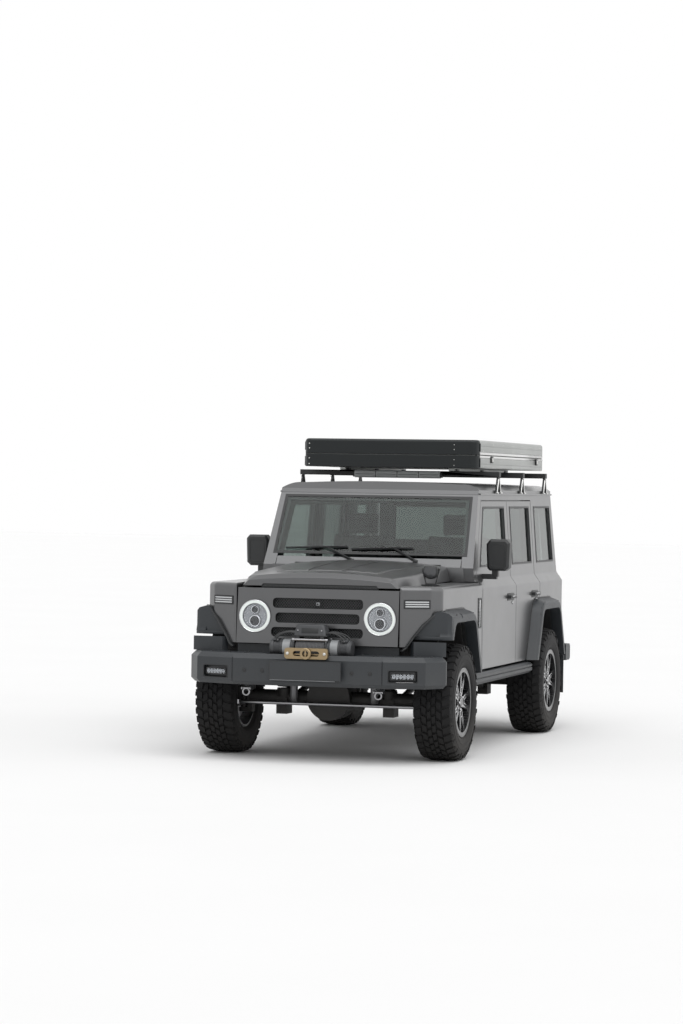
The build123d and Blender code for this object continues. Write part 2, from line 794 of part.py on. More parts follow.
# Grille inserts: a frame with upright bars in each slot
mesh_depth = 14
with BuildPart() as grille_mesh:
    for half, foot, head in slots:
        middle = (foot + head) / 2
        plane_y = panel_y(middle) + 22
        with BuildSketch(Plane.XZ.offset(-plane_y)):
            with Locations((0, middle)):
                RectangleRounded(2 * half, head - foot, 26)
                RectangleRounded(2 * half - 14, head - foot - 14, 19, mode=Mode.SUBTRACT)
                Rectangle(2 * half - 10, 5)
                with GridLocations((2 * half - 20) / 12, 1, 12, 1):
                    Rectangle(5, head - foot - 6)
        extrude(amount=-mesh_depth)
keep(grille_mesh.part, "grille_mesh")

# Lamps: round headlamps, indicators on the wings and fog lamps in the bumper
lamp_depth = 60
with BuildPart() as front_lamps:
    face_y = panel_y(lamp_z) - 8
    with BuildSketch(Plane.XY.offset(lamp_z)):
        with BuildLine():
            Polyline(
                (lamp_x, face_y + 22), (lamp_x + 88, face_y + 14), (lamp_x + 94, face_y),
                (lamp_x + lamp_radius, face_y), (lamp_x + lamp_radius, face_y + 40),
                (lamp_x + 70, face_y + lamp_depth), (lamp_x, face_y + lamp_depth), close=True,
            )
        make_face()
    revolve(axis=Axis((lamp_x, 0, lamp_z), (0, 1, 0)))
    for ball_z, ball_radius in ((lamp_z - 34, 42), (lamp_z + 46, 30)):
        rod((lamp_x, face_y + 6, ball_z), (lamp_x, face_y + 30, ball_z), ball_radius)

# Radiator with its support frame, behind the panel
with BuildPart() as radiator:
    block((-340, 340), (panel_back_y + 18, panel_back_y + 75), (rail_front_z + rail_height, 1190))
    for side in (-1, 1):
        block((side * 340, side * (rail_outer - 2)), (panel_back_y, panel_back_y + 40),
              (rail_front_z + rail_height, 1195))
    block((-345, 345), (panel_back_y, panel_back_y + 40), (1150, 1195))
    block((-345, 345), (panel_back_y, panel_back_y + 40), (rail_front_z + rail_height, 830))
keep(radiator.part, "radiator")

# Wheel flares: a crowned ring round each opening, the front pair with a nose over the bumper
flare_lip = 37
flare_sections = [
    # x from the body side, growth of the opening there
    (0, flare_grow),
    (flare_reach - 28, 66),
    (flare_reach - 6, 50),
    (flare_reach, flare_lip),
]
nose_foot_z = 893
nose_plan = [
    # x, y from the front axle
    (683, -452),
    (905, -398),
    (flare_x - 8, -380),
    (flare_x, -350),
    (flare_x, -250),
    (683, -250),
]
nose_front = [
    # x, z of the slanted seam with the wing, then over the crown of the flare
    (683, nose_foot_z),
    (746, 977),
    (822, 1057),
    (body_half_width, arch_top_z + flare_grow),
    (flare_x - 28, arch_top_z + 66),
    (flare_x - 6, arch_top_z + 44),
    (flare_x, arch_top_z + 20),
]
with BuildPart() as wheel_flares:
    for centre_y in (front_axle_y, rear_axle_y):
        loft([
            arch_face(centre_y, grow, sill_z, body_half_width + step) for step, grow in flare_sections
        ], ruled=True)
    block((body_half_width - 2, flare_x + 2), (front_axle_y - 700, front_axle_y - 100),
          (sill_z - 5, nose_foot_z), Mode.SUBTRACT)
    extrude(plan_face([(x, front_axle_y + y) for x, y in nose_plan], nose_foot_z), amount=180, dir=upward)
    extrude(front_face(nose_front + [(flare_x + 5, arch_top_z + 200), (600, arch_top_z + 200)],
                       front_axle_y - 100), amount=-900, dir=back, mode=Mode.SUBTRACT)
    for centre_y in (front_axle_y, rear_axle_y):
        extrude(arch_face(centre_y, 0, sill_z - 2, 500), amount=reach_x, dir=left, mode=Mode.SUBTRACT)
    mirror(about=Plane.YZ)
keep(wheel_flares.part, "wheel_flares")

# Front wings: swept nose, rolled top edge, wheel opening, side vent, indicator pocket
wing_wall = 30
wing_rear_y = front_axle_y + wing_rear_offset
wing_nose = (614, front_axle_y - 522)
wing_corner = (795, front_axle_y - 424)
wing_plan = [
    (598, front_axle_y - 522),
    wing_nose,
    wing_corner,
    (body_half_width, front_axle_y - 350),
    (body_half_width, wing_rear_y),
    (646, wing_rear_y),
    (646, front_axle_y - 130),
    (598, front_axle_y - 440),
]
wing_inner_plan = [
    (560, front_axle_y - 492),
    (605, front_axle_y - 490),
    (776, front_axle_y - 397),
    (body_half_width - wing_wall, front_axle_y - 325),
    (body_half_width - wing_wall, wing_rear_y - wing_wall),
    (560, wing_rear_y - wing_wall),
]
wing_seam = [
    # x, z of the slanted lower edge of the nose, closed below
    (500, panel_foot_z),
    (640, panel_foot_z),
    *nose_front[:4],
    (reach_x, arch_top_z + flare_grow),
    (reach_x, sill_z - 5),
    (500, sill_z - 5),
]
vent_z = (907, 1131)
vent_y = (front_axle_y + 694, front_axle_y + 802)
vent_depth = 12

# Plane of the indicator on the swept nose, origin at its middle
indicator_z = 1117
indicator_length = 192
indicator_height = 64
indicator_depth = 12
nose_run = Vector(wing_corner[0] - wing_nose[0], wing_corner[1] - wing_nose[1], 0).normalized()
nose_out = Vector(nose_run.Y, -nose_run.X, 0)
indicator_middle = Vector(
    (wing_nose[0] + wing_corner[0]) / 2 + 4 * nose_run.X,
    (wing_nose[1] + wing_corner[1]) / 2 + 4 * nose_run.Y,
    indicator_z,
)
indicator_plane = Plane(origin=indicator_middle, x_dir=nose_run, z_dir=nose_out)
with BuildPart() as front_wing:
    with BuildSketch(Plane.XY.offset(sill_z)) as wing_outline:
        with BuildLine():
            Polyline(*wing_plan, close=True)
        make_face()
        outer_corners = wing_outline.vertices().filter_by_position(Axis.Y, front_axle_y - 430, front_axle_y - 340)
        fillet(outer_corners.filter_by_position(Axis.X, 780, body_half_width + 1), 70)
    extrude(amount=wing_top_z - sill_z)
    top_rim = front_wing.edges().filter_by_position(Axis.Z, wing_top_z - 1, wing_top_z + 1)
    fillet(top_rim.filter_by(lambda edge: edge.center().X > 680 and edge.center().Y < wing_rear_y - 5), 34)
    extrude(plan_face(wing_inner_plan, sill_z - 1), amount=wing_top_z - wing_wall - sill_z + 1, dir=upward,
            mode=Mode.SUBTRACT)
    extrude(arch_face(front_axle_y, 0, sill_z - 2), amount=reach_x, dir=left, mode=Mode.SUBTRACT)
    # Below the slanted seam the nose gives way to the flare
    extrude(front_face(wing_seam, front_axle_y - 600), amount=600 - arch_top_half, dir=back, mode=Mode.SUBTRACT)
    block((body_half_width - vent_depth, body_half_width + 20), vent_y, vent_z, Mode.SUBTRACT)
    with BuildSketch(indicator_plane):
        RectangleRounded(indicator_length, indicator_height, 18)
    extrude(amount=-indicator_depth, mode=Mode.SUBTRACT)
    mirror(about=Plane.YZ)
    add(wheel_flares.part, mode=Mode.SUBTRACT)
keep(front_wing.part, "front_wings")

# Indicators: a frame with three light bars in each pocket
with BuildPart() as indicators:
    with BuildSketch(indicator_plane.offset(-indicator_depth)):
        RectangleRounded(indicator_length - 2, indicator_height - 2, 17)
    extrude(amount=indicator_depth - 6)
    with BuildSketch(indicator_plane.offset(-indicator_depth)):
        RectangleRounded(indicator_length - 2, indicator_height - 2, 17)
        RectangleRounded(indicator_length - 18, indicator_height - 18, 10, mode=Mode.SUBTRACT)
        with GridLocations(1, indicator_height / 4, 1, 3):
            Rectangle(indicator_length - 16, 7)
    extrude(amount=indicator_depth + 4)
with BuildPart() as all_front_lamps:
    add(front_lamps.part)
    add(indicators.part)
    mirror(about=Plane.YZ)
keep(all_front_lamps.part, "front_lamps")

# Inner wings: engine bay walls and the liners over the front tyres
liner_wall = 8
shelf_z = wing_top_z - wing_wall
with BuildPart() as inner_wings:
    block((rail_outer, rail_outer + 15), (panel_back_y, bulkhead_y - 28), (rail_front_z, shelf_z))
    block((rail_outer, 700), (front_axle_y - 380, bulkhead_y - 40), (shelf_z - 15, shelf_z))
    extrude(arch_face(front_axle_y, 0, sill_z + 1, rail_outer + 15),
            amount=body_half_width - wing_wall - rail_outer - 15, dir=left)
    extrude(arch_face(front_axle_y, -liner_wall, sill_z, rail_outer + 15),
            amount=body_half_width - rail_outer, dir=left, mode=Mode.SUBTRACT)
    mirror(about=Plane.YZ)
keep(inner_wings.part, "inner_wings")

# Bonnet: domed panel with a rounded lip, three raised fields on top, hollow underneath
bonnet_wall = 26
bonnet_round = 28
field_rise = 4
bonnet_rear_y = cowl_front_y - 6
bonnet_sections = [
    # y, half-width at the foot, foot z, half-width at the dome edge, dome edge z, crown z
    (front_axle_y - 484, 568, 1222, 520, 1262, 1288),
    (front_axle_y - 440, 576, 1224, 532, 1289, 1321),
    (front_axle_y - 130, 636, 1236, 590, 1312, 1350),
    (bonnet_rear_y, 636, 1247, 606, 1352, 1392),
]
field_front_y = front_axle_y - 300
field_rear_y = front_axle_y + 610
bonnet_fields = [
    # inner and outer x at the front, then at the rear
    (-110, 110, -132, 132),
    (138, 372, 166, 470),
    (-372, -138, -470, -166),
]


def bonnet_face(row, inset):
    """One section across the bonnet, shrunk by its wall."""
    section_y, foot_half, section_foot, edge_half, edge_z, crown_z = row
    drop = section_foot - 5 if inset else section_foot
    with BuildSketch(Plane.XZ.offset(-section_y)) as outline:
        with BuildLine():
            Line((-foot_half + inset, drop), (-edge_half + inset, edge_z - inset))
            ThreePointArc((-edge_half + inset, edge_z - inset), (0, crown_z - inset),
                          (edge_half - inset, edge_z - inset))
            Line((edge_half - inset, edge_z - inset), (foot_half - inset, drop))
            Line((foot_half - inset, drop), (-foot_half + inset, drop))
        make_face()
        dome_edges = outline.vertices().filter_by_position(Axis.Y, edge_z - inset - 1, edge_z - inset + 1)
        fillet(dome_edges, bonnet_round)
    return outline.sketch


with BuildPart() as bonnet:
    loft([bonnet_face(row, 0) for row in bonnet_sections], ruled=True)
with BuildPart() as bonnet_raised:
    loft([bonnet_face(row, -field_rise) for row in bonnet_sections], ruled=True)
with BuildPart() as bonnet_shapes:
    for front_in, front_out, rear_in, rear_out in bonnet_fields:
        extrude(plan_face([
            (front_in, field_front_y), (front_out, field_front_y),
            (rear_out, field_rear_y), (rear_in, field_rear_y),
        ], wing_top_z + bonnet_wall), amount=300, dir=upward)
    add(bonnet_raised.part, mode=Mode.INTERSECT)
with BuildPart() as bonnet_space:
    first, *middle_rows, last = bonnet_sections
    inner_rows = [(first[0] + bonnet_wall, *first[1:]), *middle_rows, (last[0] - bonnet_wall, *last[1:])]
    loft([bonnet_face(row, bonnet_wall) for row in inner_rows], ruled=True)
with BuildPart() as bonnet_panel:
    add(bonnet.part)
    add(bonnet_shapes.part)
    add(bonnet_space.part, mode=Mode.SUBTRACT)
    # Air slot under the lip
    extrude(front_face([(-445, 1200), (-415, 1238), (415, 1238), (445, 1200)], front_axle_y - 500),
            amount=32, dir=back, mode=Mode.SUBTRACT)
keep(bonnet_panel.part, "bonnet")

# Small round mirror on the left wing
pod_x = 722
pod_y = front_axle_y - 150
pod_z = 1343
pod_radius = 56
with BuildPart() as wing_mirror_pod:
    block((pod_x - 34, pod_x + 34), (pod_y - 26, pod_y + 26), (wing_top_z, wing_top_z + 7))
    for side in (-1, 1):
        block((pod_x + side * 20, pod_x + side * 28), (pod_y - 12, pod_y + 12), (wing_top_z, pod_z - 40))
    with BuildSketch(Plane.XZ.offset(-(pod_y - 34))):
        with Locations((pod_x, pod_z)):
            Circle(pod_radius)
            with Locations((0, -pod_radius)):
                Rectangle(2 * pod_radius, 24, mode=Mode.SUBTRACT)
    extrude(amount=-62)
    chamfer(wing_mirror_pod.faces().sort_by(Axis.Y)[0].edges(), 8)
keep(wing_mirror_pod.part, "wing_mirror_pod")

# Front bumper: swept steel shell with a winch tray and lamp pockets
bumper_foot_z = 530
bumper_top_z = 757
tray_z = 728
bumper_plan = [
    # x, y from the front axle, share of the wall by which x and y move inwards
    (0, -765, 0, 1),
    (543, -765, 0.14, 1),
    (830, -680, 0.7, 0.8),
    (932, -510, 1, 0.3),
    (932, -486, 1, 0),
]
bumper_wall = 26
seam_x = 543
swept_run = Vector(830 - seam_x, 765 - 680, 0).normalized()
fog_plane = Plane(
    origin=(680, front_axle_y - 765 + (680 - seam_x) * swept_run.Y / swept_run.X, 625),
    x_dir=swept_run,
    z_dir=(swept_run.Y, -swept_run.X, 0),
)


def bumper_face(inset, z):
    """Plan of one half of the bumper, moved inwards by inset."""
    front = [(x - inset * share_x, front_axle_y + y + inset * share_y)
             for x, y, share_x, share_y in bumper_plan]
    return plan_face(front + [(0, front_axle_y + bumper_back)], z)


with BuildPart() as front_bumper:
    extrude(bumper_face(0, bumper_foot_z), amount=bumper_top_z - bumper_foot_z, dir=upward)
    outer_rim = front_bumper.edges().filter_by(Plane.XY).filter_by(
        lambda edge: edge.center().Y < front_axle_y + bumper_back - 5 and edge.center().X > 5)
    chamfer(outer_rim, 34)
    extrude(bumper_face(bumper_wall, bumper_foot_z - 1), amount=tray_z - bumper_foot_z - 18, dir=upward,
            mode=Mode.SUBTRACT)
    block((-1, 322), (front_axle_y - 722, front_axle_y + bumper_back + 1), (tray_z, bumper_top_z + 1), Mode.SUBTRACT)
    # Groove where the swept end joins, and the lamp pocket
    block((seam_x - 4, seam_x + 4), (front_axle_y - 780, front_axle_y - 758),
          (bumper_foot_z - 1, bumper_top_z + 1), Mode.SUBTRACT)
    with BuildSketch(fog_plane):
        RectangleRounded(204, 84, 20)
    extrude(amount=-60, mode=Mode.SUBTRACT)
    # Strip between the tray and the grille panel
    block((0, panel_half_width), (front_axle_y + bumper_back - 16, front_axle_y + bumper_back),
          (tray_z - 2, panel_foot_z - 7))
    # Filler between bumper and wing
    with BuildSketch(Plane.XY.offset(bumper_top_z)):
        with BuildLine():
            Polyline(
                (668, front_axle_y - 486), (700, front_axle_y - 520), (890, front_axle_y - 500),
                (925, front_axle_y - 486), close=True,
            )
        make_face()
    extrude(amount=100)
    # Stays to the frame and tow eyes
    block((rail_outer - rail_width, rail_outer), (front_axle_y + bumper_back, front_axle_y - 745),
          (rail_front_z, tray_z - 10))
    block((470, 492), (front_axle_y - 620, front_axle_y - 500), (488, 560))
    rod((450, front_axle_y - 570, 518), (510, front_axle_y - 570, 518), 15, Mode.SUBTRACT)
    block((462, 500), (front_axle_y - 640, front_axle_y - 486), (545, 560))
    block((462, 500), (front_axle_y - 640, front_axle_y - 600), (545, 715))
    mirror(about=Plane.YZ)
    # Bare number plate on its holder
    block((-260, 260), (front_axle_y - front_reach, front_axle_y - front_reach + 14), (584, 716))
    block((-120, 120), (front_axle_y - front_reach + 14, front_axle_y - 765), (600, 690))
keep(front_bumper.part, "front_bumper")

# Fog lamps seated in the pockets: two lenses on a plate behind the face
with BuildPart() as fog_lamps:
    with BuildSketch(fog_plane.offset(-34)):
        RectangleRounded(202, 82, 19)
    extrude(amount=12)
    with BuildSketch(fog_plane.offset(-23)):
        with Locations((-48, 0), (48, 0)):
            RectangleRounded(90, 66, 16)
    extrude(amount=15)
    mirror(about=Plane.YZ)
keep(fog_lamps.part, "fog_lamps")

# Winch on the tray: drum with rope, motor and gear housings, control box, tie bars
winch_y = front_axle_y - 645
winch_z = 800
with BuildPart() as winch:
    rod((-300, winch_y, winch_z), (-118, winch_y, winch_z), 60)
    rod((118, winch_y, winch_z), (300, winch_y, winch_z), 64)
    rod((-118, winch_y, winch_z), (118, winch_y, winch_z), 48)
    for flange_x in (-124, 112):
        block((flange_x, flange_x + 12), (winch_y - 66, winch_y + 66), (tray_z, winch_z + 70))
    for bar_y in (winch_y - 50, winch_y + 50):
        rod((-118, bar_y, winch_z + 56), (118, bar_y, winch_z + 56), 9)
    with BuildSketch(Plane.XY.offset(winch_z + 70)):
        with Locations((0, winch_y)):
            RectangleRounded(248, 126, 22)
    extrude(amount=104)
keep(winch.part, "winch")

# Fairlead: plate with a rounded slot in front of the drum
with BuildPart() as fairlead:
    with BuildSketch(Plane.XZ.offset(-(front_axle_y - 765))):
        with Locations((0, 768)):
            RectangleRounded(312, 76, 20)
            SlotOverall(190, 36, mode=Mode.SUBTRACT)
    extrude(amount=26)
    block((-150, 150), (front_axle_y - 766, front_axle_y - 728), (bumper_top_z, bumper_top_z + 9))
keep(fairlead.part, "fairlead")

# Side steps on brackets from the rails
step_inner_x = 770
step_outer_x = 900
step_top_z = 585
step_front_y = front_axle_y + 505
step_rear_y = rear_axle_y - 505
with BuildPart() as side_steps:
    extrude(front_face([
        (step_inner_x, 500), (step_inner_x, step_top_z), (step_outer_x - 20, step_top_z),
        (step_outer_x, step_top_z - 18), (step_outer_x, 522), (step_outer_x - 24, 500),
    ], step_front_y), amount=step_rear_y - step_front_y, dir=back)
    block((step_outer_x - 10, step_outer_x + 1), (step_front_y - 1, step_rear_y + 1), (545, 552), Mode.SUBTRACT)
    for bracket_y in (step_front_y + 300, (step_front_y + step_rear_y) / 2, step_rear_y - 300):
        block((rail_outer, step_inner_x), (bracket_y - 25, bracket_y + 25), (rail_mid_z + 5, rail_mid_z + 35))
    mirror(about=Plane.YZ)
keep(side_steps.part, "side_steps")

# Rear bumper with wrapped ends, mud flaps and a tow receiver
rear_bumper_depth = 95
bumper_low_z = 545
bumper_high_z = 676
wrap_front_y = rear_axle_y + 580
wrap_inner_x = body_half_width + 6
wrap_outer_x = body_half_width + 75
flap_y = rear_axle_y + 517
flap_foot_z = 286
receiver_half = 38
receiver_bore = 51
receiver_z = 505
receiver_end_y = body_rear_y + rear_bumper_depth + 5
with BuildPart() as rear_bumper:
    with BuildSketch(Plane.XY.offset(bumper_low_z)):
        with BuildLine():
            Polyline(
                (0, body_rear_y + 6), (wrap_inner_x, body_rear_y + 6),
                (wrap_inner_x, wrap_front_y), (wrap_outer_x, wrap_front_y),
                (wrap_outer_x, body_rear_y + 10), (body_half_width - 10, body_rear_y + rear_bumper_depth),
                (0, body_rear_y + rear_bumper_depth), close=True,
            )
        make_face()
    extrude(amount=bumper_high_z - bumper_low_z)
    rear_rim = rear_bumper.edges().filter_by(Plane.XY).filter_by(
        lambda edge: edge.center().Y > body_rear_y + 40 and edge.center().X > 5)
    chamfer(rear_rim, 18)
    block((rail_outer - rail_width, rail_outer), (rail_rear_y - 80, body_rear_y + 20), (bumper_low_z, rail_rear_z))
    # Mud flap with its stay from the wrapped end
    block((body_half_width - 170, body_half_width + 70), (flap_y - 4, flap_y + 4), (flap_foot_z, sill_z - 10))
    block((wrap_inner_x + 4, wrap_outer_x - 10), (flap_y - 4, wrap_front_y + 8), (bumper_low_z + 11, sill_z - 10))
    mirror(about=Plane.YZ)
    # The receiver tube hangs under the beam, its pin goes through both walls
    block((-receiver_half, receiver_half), (rail_rear_y, receiver_end_y),
          (receiver_z - receiver_half, bumper_low_z + 4))
    block((-receiver_bore / 2, receiver_bore / 2), (rail_rear_y + 20, receiver_end_y + 1),
          (receiver_z - receiver_bore / 2, receiver_z + receiver_bore / 2), Mode.SUBTRACT)
    rod((-60, body_rear_y + 60, receiver_z), (60, body_rear_y + 60, receiver_z), 8.2, Mode.SUBTRACT)
keep(rear_bumper.part, "rear_bumper")

# Rear lamps on the corner pillars
with BuildPart() as rear_lamps:
    with BuildSketch(Plane.XZ.offset(-body_rear_y)):
        with Locations((780, 990)):
            RectangleRounded(96, 230, 16)
    extrude(amount=-26)
    mirror(about=Plane.YZ)
keep(rear_lamps.part, "rear_lamps")

# Roof rack: three cross-bars on gutter feet and a light bar in front
bar_z = (gutter_z + rack_rise - rack_bar_height, gutter_z + rack_rise)
rack_foot_z = gutter_z + gutter_height
rack_y = [front_axle_y + 1630, (front_axle_y + 1630 + rear_axle_y + 390) / 2, rear_axle_y + 390]
with BuildPart() as roof_rack:
    for bar_y in rack_y:
        block((0, rack_bar_end), (bar_y - 30, bar_y + 30), bar_z)
        extrude(side_face([
            (bar_y - 75, rack_foot_z), (bar_y - 18, bar_z[0]), (bar_y + 18, bar_z[0]), (bar_y + 75, rack_foot_z),
            (bar_y + 45, rack_foot_z), (bar_y, bar_z[0] - 30), (bar_y - 45, rack_foot_z),
        ], gutter_half_width + 1), amount=gutter_reach - 1, dir=left)
    mirror(about=Plane.YZ)
    for lamp_row in range(4):
        middle_x = -255 + lamp_row * 170
        block((middle_x - 80, middle_x + 80), (rack_y[0] - 85, rack_y[0] - 30), (bar_z[0] - 13, bar_z[1] - 5))
keep(roof_rack.part, "roof_rack")

# Roof tent: tray on three channels and a lid hinged at its front edge
tent_front_y = front_axle_y + tent_front_offset
tent_rear_y = rear_axle_y + tent_rear_offset
tent_base_z = bar_z[1] + tent_channel_height
tent_split_z = tent_base_z + tent_base_height + tent_lid_gap
tent_top_z = tent_split_z + tent_lid_height
tent_corner = 60
tent_length = tent_rear_y - tent_front_y
tent_middle_y = (tent_front_y + tent_rear_y) / 2
with BuildPart() as tent_base:
    with BuildSketch(Plane.XY.offset(tent_base_z)):
        with Locations((0, tent_middle_y)):
            RectangleRounded(2 * tent_half_width, tent_length, tent_corner)
    extrude(amount=tent_base_height)
    with BuildSketch(Plane.XY.offset(tent_base_z + tent_wall)):
        with Locations((0, tent_middle_y)):
            RectangleRounded(2 * (tent_half_width - tent_wall), tent_length - 2 * tent_wall, tent_corner - tent_wall)
    extrude(amount=tent_split_z, mode=Mode.SUBTRACT)
    for channel_x in (-430, 430):
        block((channel_x - 22, channel_x + 22), (rack_y[0] - 90, rack_y[2] + 90), (bar_z[1], tent_base_z))
keep(tent_base.part, "tent_base")
with BuildPart() as tent_lid:
    with BuildSketch(Plane.XY.offset(tent_split_z)):
        with Locations((0, tent_middle_y)):
            RectangleRounded(2 * tent_half_width, tent_length, tent_corner)
    extrude(amount=tent_top_z - tent_split_z)
    fillet(tent_lid.edges().group_by(Axis.Z)[-1], 22)
    with BuildSketch(Plane.XY.offset(tent_split_z - 1)):
        with Locations((0, tent_middle_y)):
            RectangleRounded(2 * (tent_half_width - tent_wall), tent_length - 2 * tent_wall, tent_corner - tent_wall)
    extrude(amount=tent_top_z - tent_split_z - tent_wall + 1, mode=Mode.SUBTRACT)
keep(tent_lid.part, "tent_lid")

# Dashboard with the steering column
driver_x = 380
dash_rear_y = front_axle_y + 1130
wheel_hub = (driver_x, front_axle_y + 1235, 1215)
column_tilt = 25
column_axis = (0, math.cos(math.radians(column_tilt)), math.sin(math.radians(column_tilt)))
column_start = Vector(*wheel_hub) - Vector(*column_axis) * 18
with BuildPart() as dashboard:
    extrude(side_face([
        (bulkhead_y, 980), (bulkhead_y, 1330), (dash_rear_y - 90, 1325), (dash_rear_y, 1250),
        (dash_rear_y - 60, 1020), (dash_rear_y - 150, 980),
    ], -(side_x(1330) - frame_depth - 3)), amount=2 * (side_x(1330) - frame_depth - 3), dir=left)
    block((-120, 120), (bulkhead_y, dash_rear_y + 700), (floor_z + floor_thickness, 990))
    rod(column_start, column_start - Vector(*column_axis) * 260, 30)
keep(dashboard.part, "dashboard")

# Steering wheel: rim with three spokes on its hub
with BuildPart() as steering_wheel:
    hub_plane = Plane(origin=wheel_hub, x_dir=left, z_dir=column_axis)
    with BuildSketch(Plane(origin=wheel_hub, x_dir=left, z_dir=hub_plane.y_dir.reverse())):
        with Locations((182, 0)):
            RegularPolygon(15, 8)
    revolve(axis=Axis(wheel_hub, column_axis))
    with BuildSketch(hub_plane):
        Circle(56)
        with Locations((95, 0), (-95, 0)):
            Rectangle(160, 40)
        with Locations((0, -95)):
            Rectangle(46, 160)
    extrude(amount=14, both=True)
keep(steering_wheel.part, "steering_wheel")

# Seats: two in front, a bench behind
with BuildPart() as front_seats:
    for seat_x in (-driver_x, driver_x):
        extrude(side_face([
            (front_axle_y + 1380, floor_z + floor_thickness), (front_axle_y + 1360, 1010),
            (front_axle_y + 1810, 985), (front_axle_y + 1940, 1560), (front_axle_y + 2030, 1560),
            (front_axle_y + 1930, floor_z + floor_thickness),
        ], seat_x - 245), amount=490, dir=left)
        block((seat_x - 120, seat_x + 120), (front_axle_y + 1945, front_axle_y + 2025), (1560, 1730))
keep(front_seats.part, "front_seats")
with BuildPart() as rear_bench:
    extrude(side_face([
        (rear_axle_y - 620, floor_z + floor_thickness), (rear_axle_y - 640, 1010),
        (rear_axle_y - 180, 990), (rear_axle_y - 60, 1520), (rear_axle_y + 30, 1520),
        (rear_axle_y - 80, floor_z + floor_thickness),
    ], -580), amount=1160, dir=left)
keep(rear_bench.part, "rear_bench")

# Tailgate with its glass, hinge knuckles and spare wheel carrier
spare_x = 30
spare_z = 1100
spare_y = body_rear_y + spare_stand_off + tyre_width / 2
gate_hinge_x = -(gate_half_width + 14)
gate_hinge_y = body_rear_y + 14
gate_window = [
    (-560, 1345), (-545, 1780), (545, 1780), (560, 1345),
]
with BuildPart() as tailgate:
    extrude(side_face(rear_wall_outline, -gate_half_width), amount=2 * gate_half_width, dir=left)
    extrude(front_face(gate_outline, body_rear_y - 400), amount=800, dir=back, mode=Mode.INTERSECT)
    extrude(front_face(gate_window, body_rear_y - 400), amount=800, dir=back, mode=Mode.SUBTRACT)
    rod((spare_x, body_rear_y - 2, spare_z), (spare_x, spare_y + boss_face, spare_z), 70)
    for hinge_z in (760, 1180):
        block((gate_hinge_x, -gate_half_width + 90), (body_rear_y, body_rear_y + 14), (hinge_z - 25, hinge_z + 25))
        rod((gate_hinge_x, gate_hinge_y, hinge_z - 25), (gate_hinge_x, gate_hinge_y, hinge_z + 25), 12)
keep(tailgate.part, "tailgate")
with BuildPart() as tailgate_glass:
    extrude(side_face([
        (y - pane_depth * (i < 3) + (skin - pane_depth - glass) * (i > 2), z)
        for i, (y, z) in enumerate(rear_wall_outline)
    ], -gate_half_width), amount=2 * gate_half_width, dir=left)
    extrude(front_face(gate_window, body_rear_y - 400), amount=800, dir=back, mode=Mode.INTERSECT)
keep(tailgate_glass.part, "tailgate_glass")

# Tyre: carcass with open grooves between its shoulder lugs
lug_count = 18
lug_gap = 24
lug_depth = 16
tyre_profile = [
    # distance from the wheel's middle plane, radius; one half
    (118, rim_seat_radius),
    (124, rim_seat_radius + 17),
    (140, rim_seat_radius + 37),
    (tyre_width / 2, 320),
    (136, 376),
    (122, 404),
    (104, tyre_diameter / 2),
]
with BuildPart() as tyre:
    with BuildSketch(Plane.XY):
        with BuildLine():
            Polyline(*tyre_profile, *[(-x, radius) for x, radius in reversed(tyre_profile)], close=True)
        make_face()
    revolve(axis=Axis.X)
    for tread_side in (-1, 1):
        with BuildSketch(Plane.YZ.offset(tread_side * 78)):
            with PolarLocations(tyre_diameter / 2, lug_count, start_angle=5 * tread_side):
                Rectangle(2 * lug_depth, lug_gap)
        extrude(amount=90, dir=(tread_side, 0, 0), mode=Mode.SUBTRACT)

# Rim: barrel and five split spokes; the outer face is towards +X
spoke_count = 5
spoke_face = 104
spoke_depth = 26
with BuildSketch() as spoke:
    with BuildLine():
        Polyline(
            (58, -30), (208, -66), (216, -34), (112, -7), (112, 7), (216, 34), (208, 66), (58, 30),
            close=True,
        )
    make_face()
with BuildPart() as rim:
    with BuildSketch(Plane.XY):
        with BuildLine():
            Polyline(
                (-118, barrel_inner), (-118, rim_seat_radius), (118, rim_seat_radius), (124, rim_seat_radius + 17),
                (128, rim_seat_radius + 17), (128, barrel_inner), close=True,
            )
        make_face()
        with BuildLine():
            Polyline(
                (boss_face, 0), (boss_face, 70), (spoke_face - 4, 70), (spoke_face + 6, 34), (spoke_face + 6, 0),
                close=True,
            )
        make_face()
    revolve(axis=Axis.X)
    with BuildSketch(Plane.YZ.offset(spoke_face - spoke_depth)):
        with PolarLocations(0, spoke_count):
            add(spoke.sketch)
    extrude(amount=spoke_depth)

# Hub with the brake disc, turning with the rim
with BuildPart() as hub:
    with BuildSketch(Plane.XY):
        with BuildLine():
            Polyline(
                (disc_inner, stub_radius + hub_clearance), (disc_inner, disc_radius), (disc_outer, disc_radius),
                (disc_outer, 64), (boss_face + 1, 64), (boss_face + 1, 0),
                (stub_end + hub_clearance, 0), (stub_end + hub_clearance, stub_radius + hub_clearance), close=True,
            )
        make_face()
    revolve(axis=Axis.X)
with BuildPart() as road_rim:
    add(rim.part)
    add(hub.part)

wheels = [
    # name, side, y
    ("front_left", 1, front_axle_y),
    ("front_right", -1, front_axle_y),
    ("rear_left", 1, rear_axle_y),
    ("rear_right", -1, rear_axle_y),
]
for name, side, wheel_y in wheels:
    place = Location((side * wheel_x, wheel_y, axle_z))
    keep(on_side(tyre.part, side).moved(place), f"tyre_{name}")
    keep(on_side(road_rim.part, side).moved(place), f"rim_{name}")
spare_place = Location((spare_x, spare_y, spare_z), (0, 0, 90))
keep(tyre.part.moved(spare_place), "spare_tyre")
keep(rim.part.moved(spare_place), "spare_rim")
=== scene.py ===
import json
import math

import bmesh
import bpy
from mathutils import Matrix, Vector


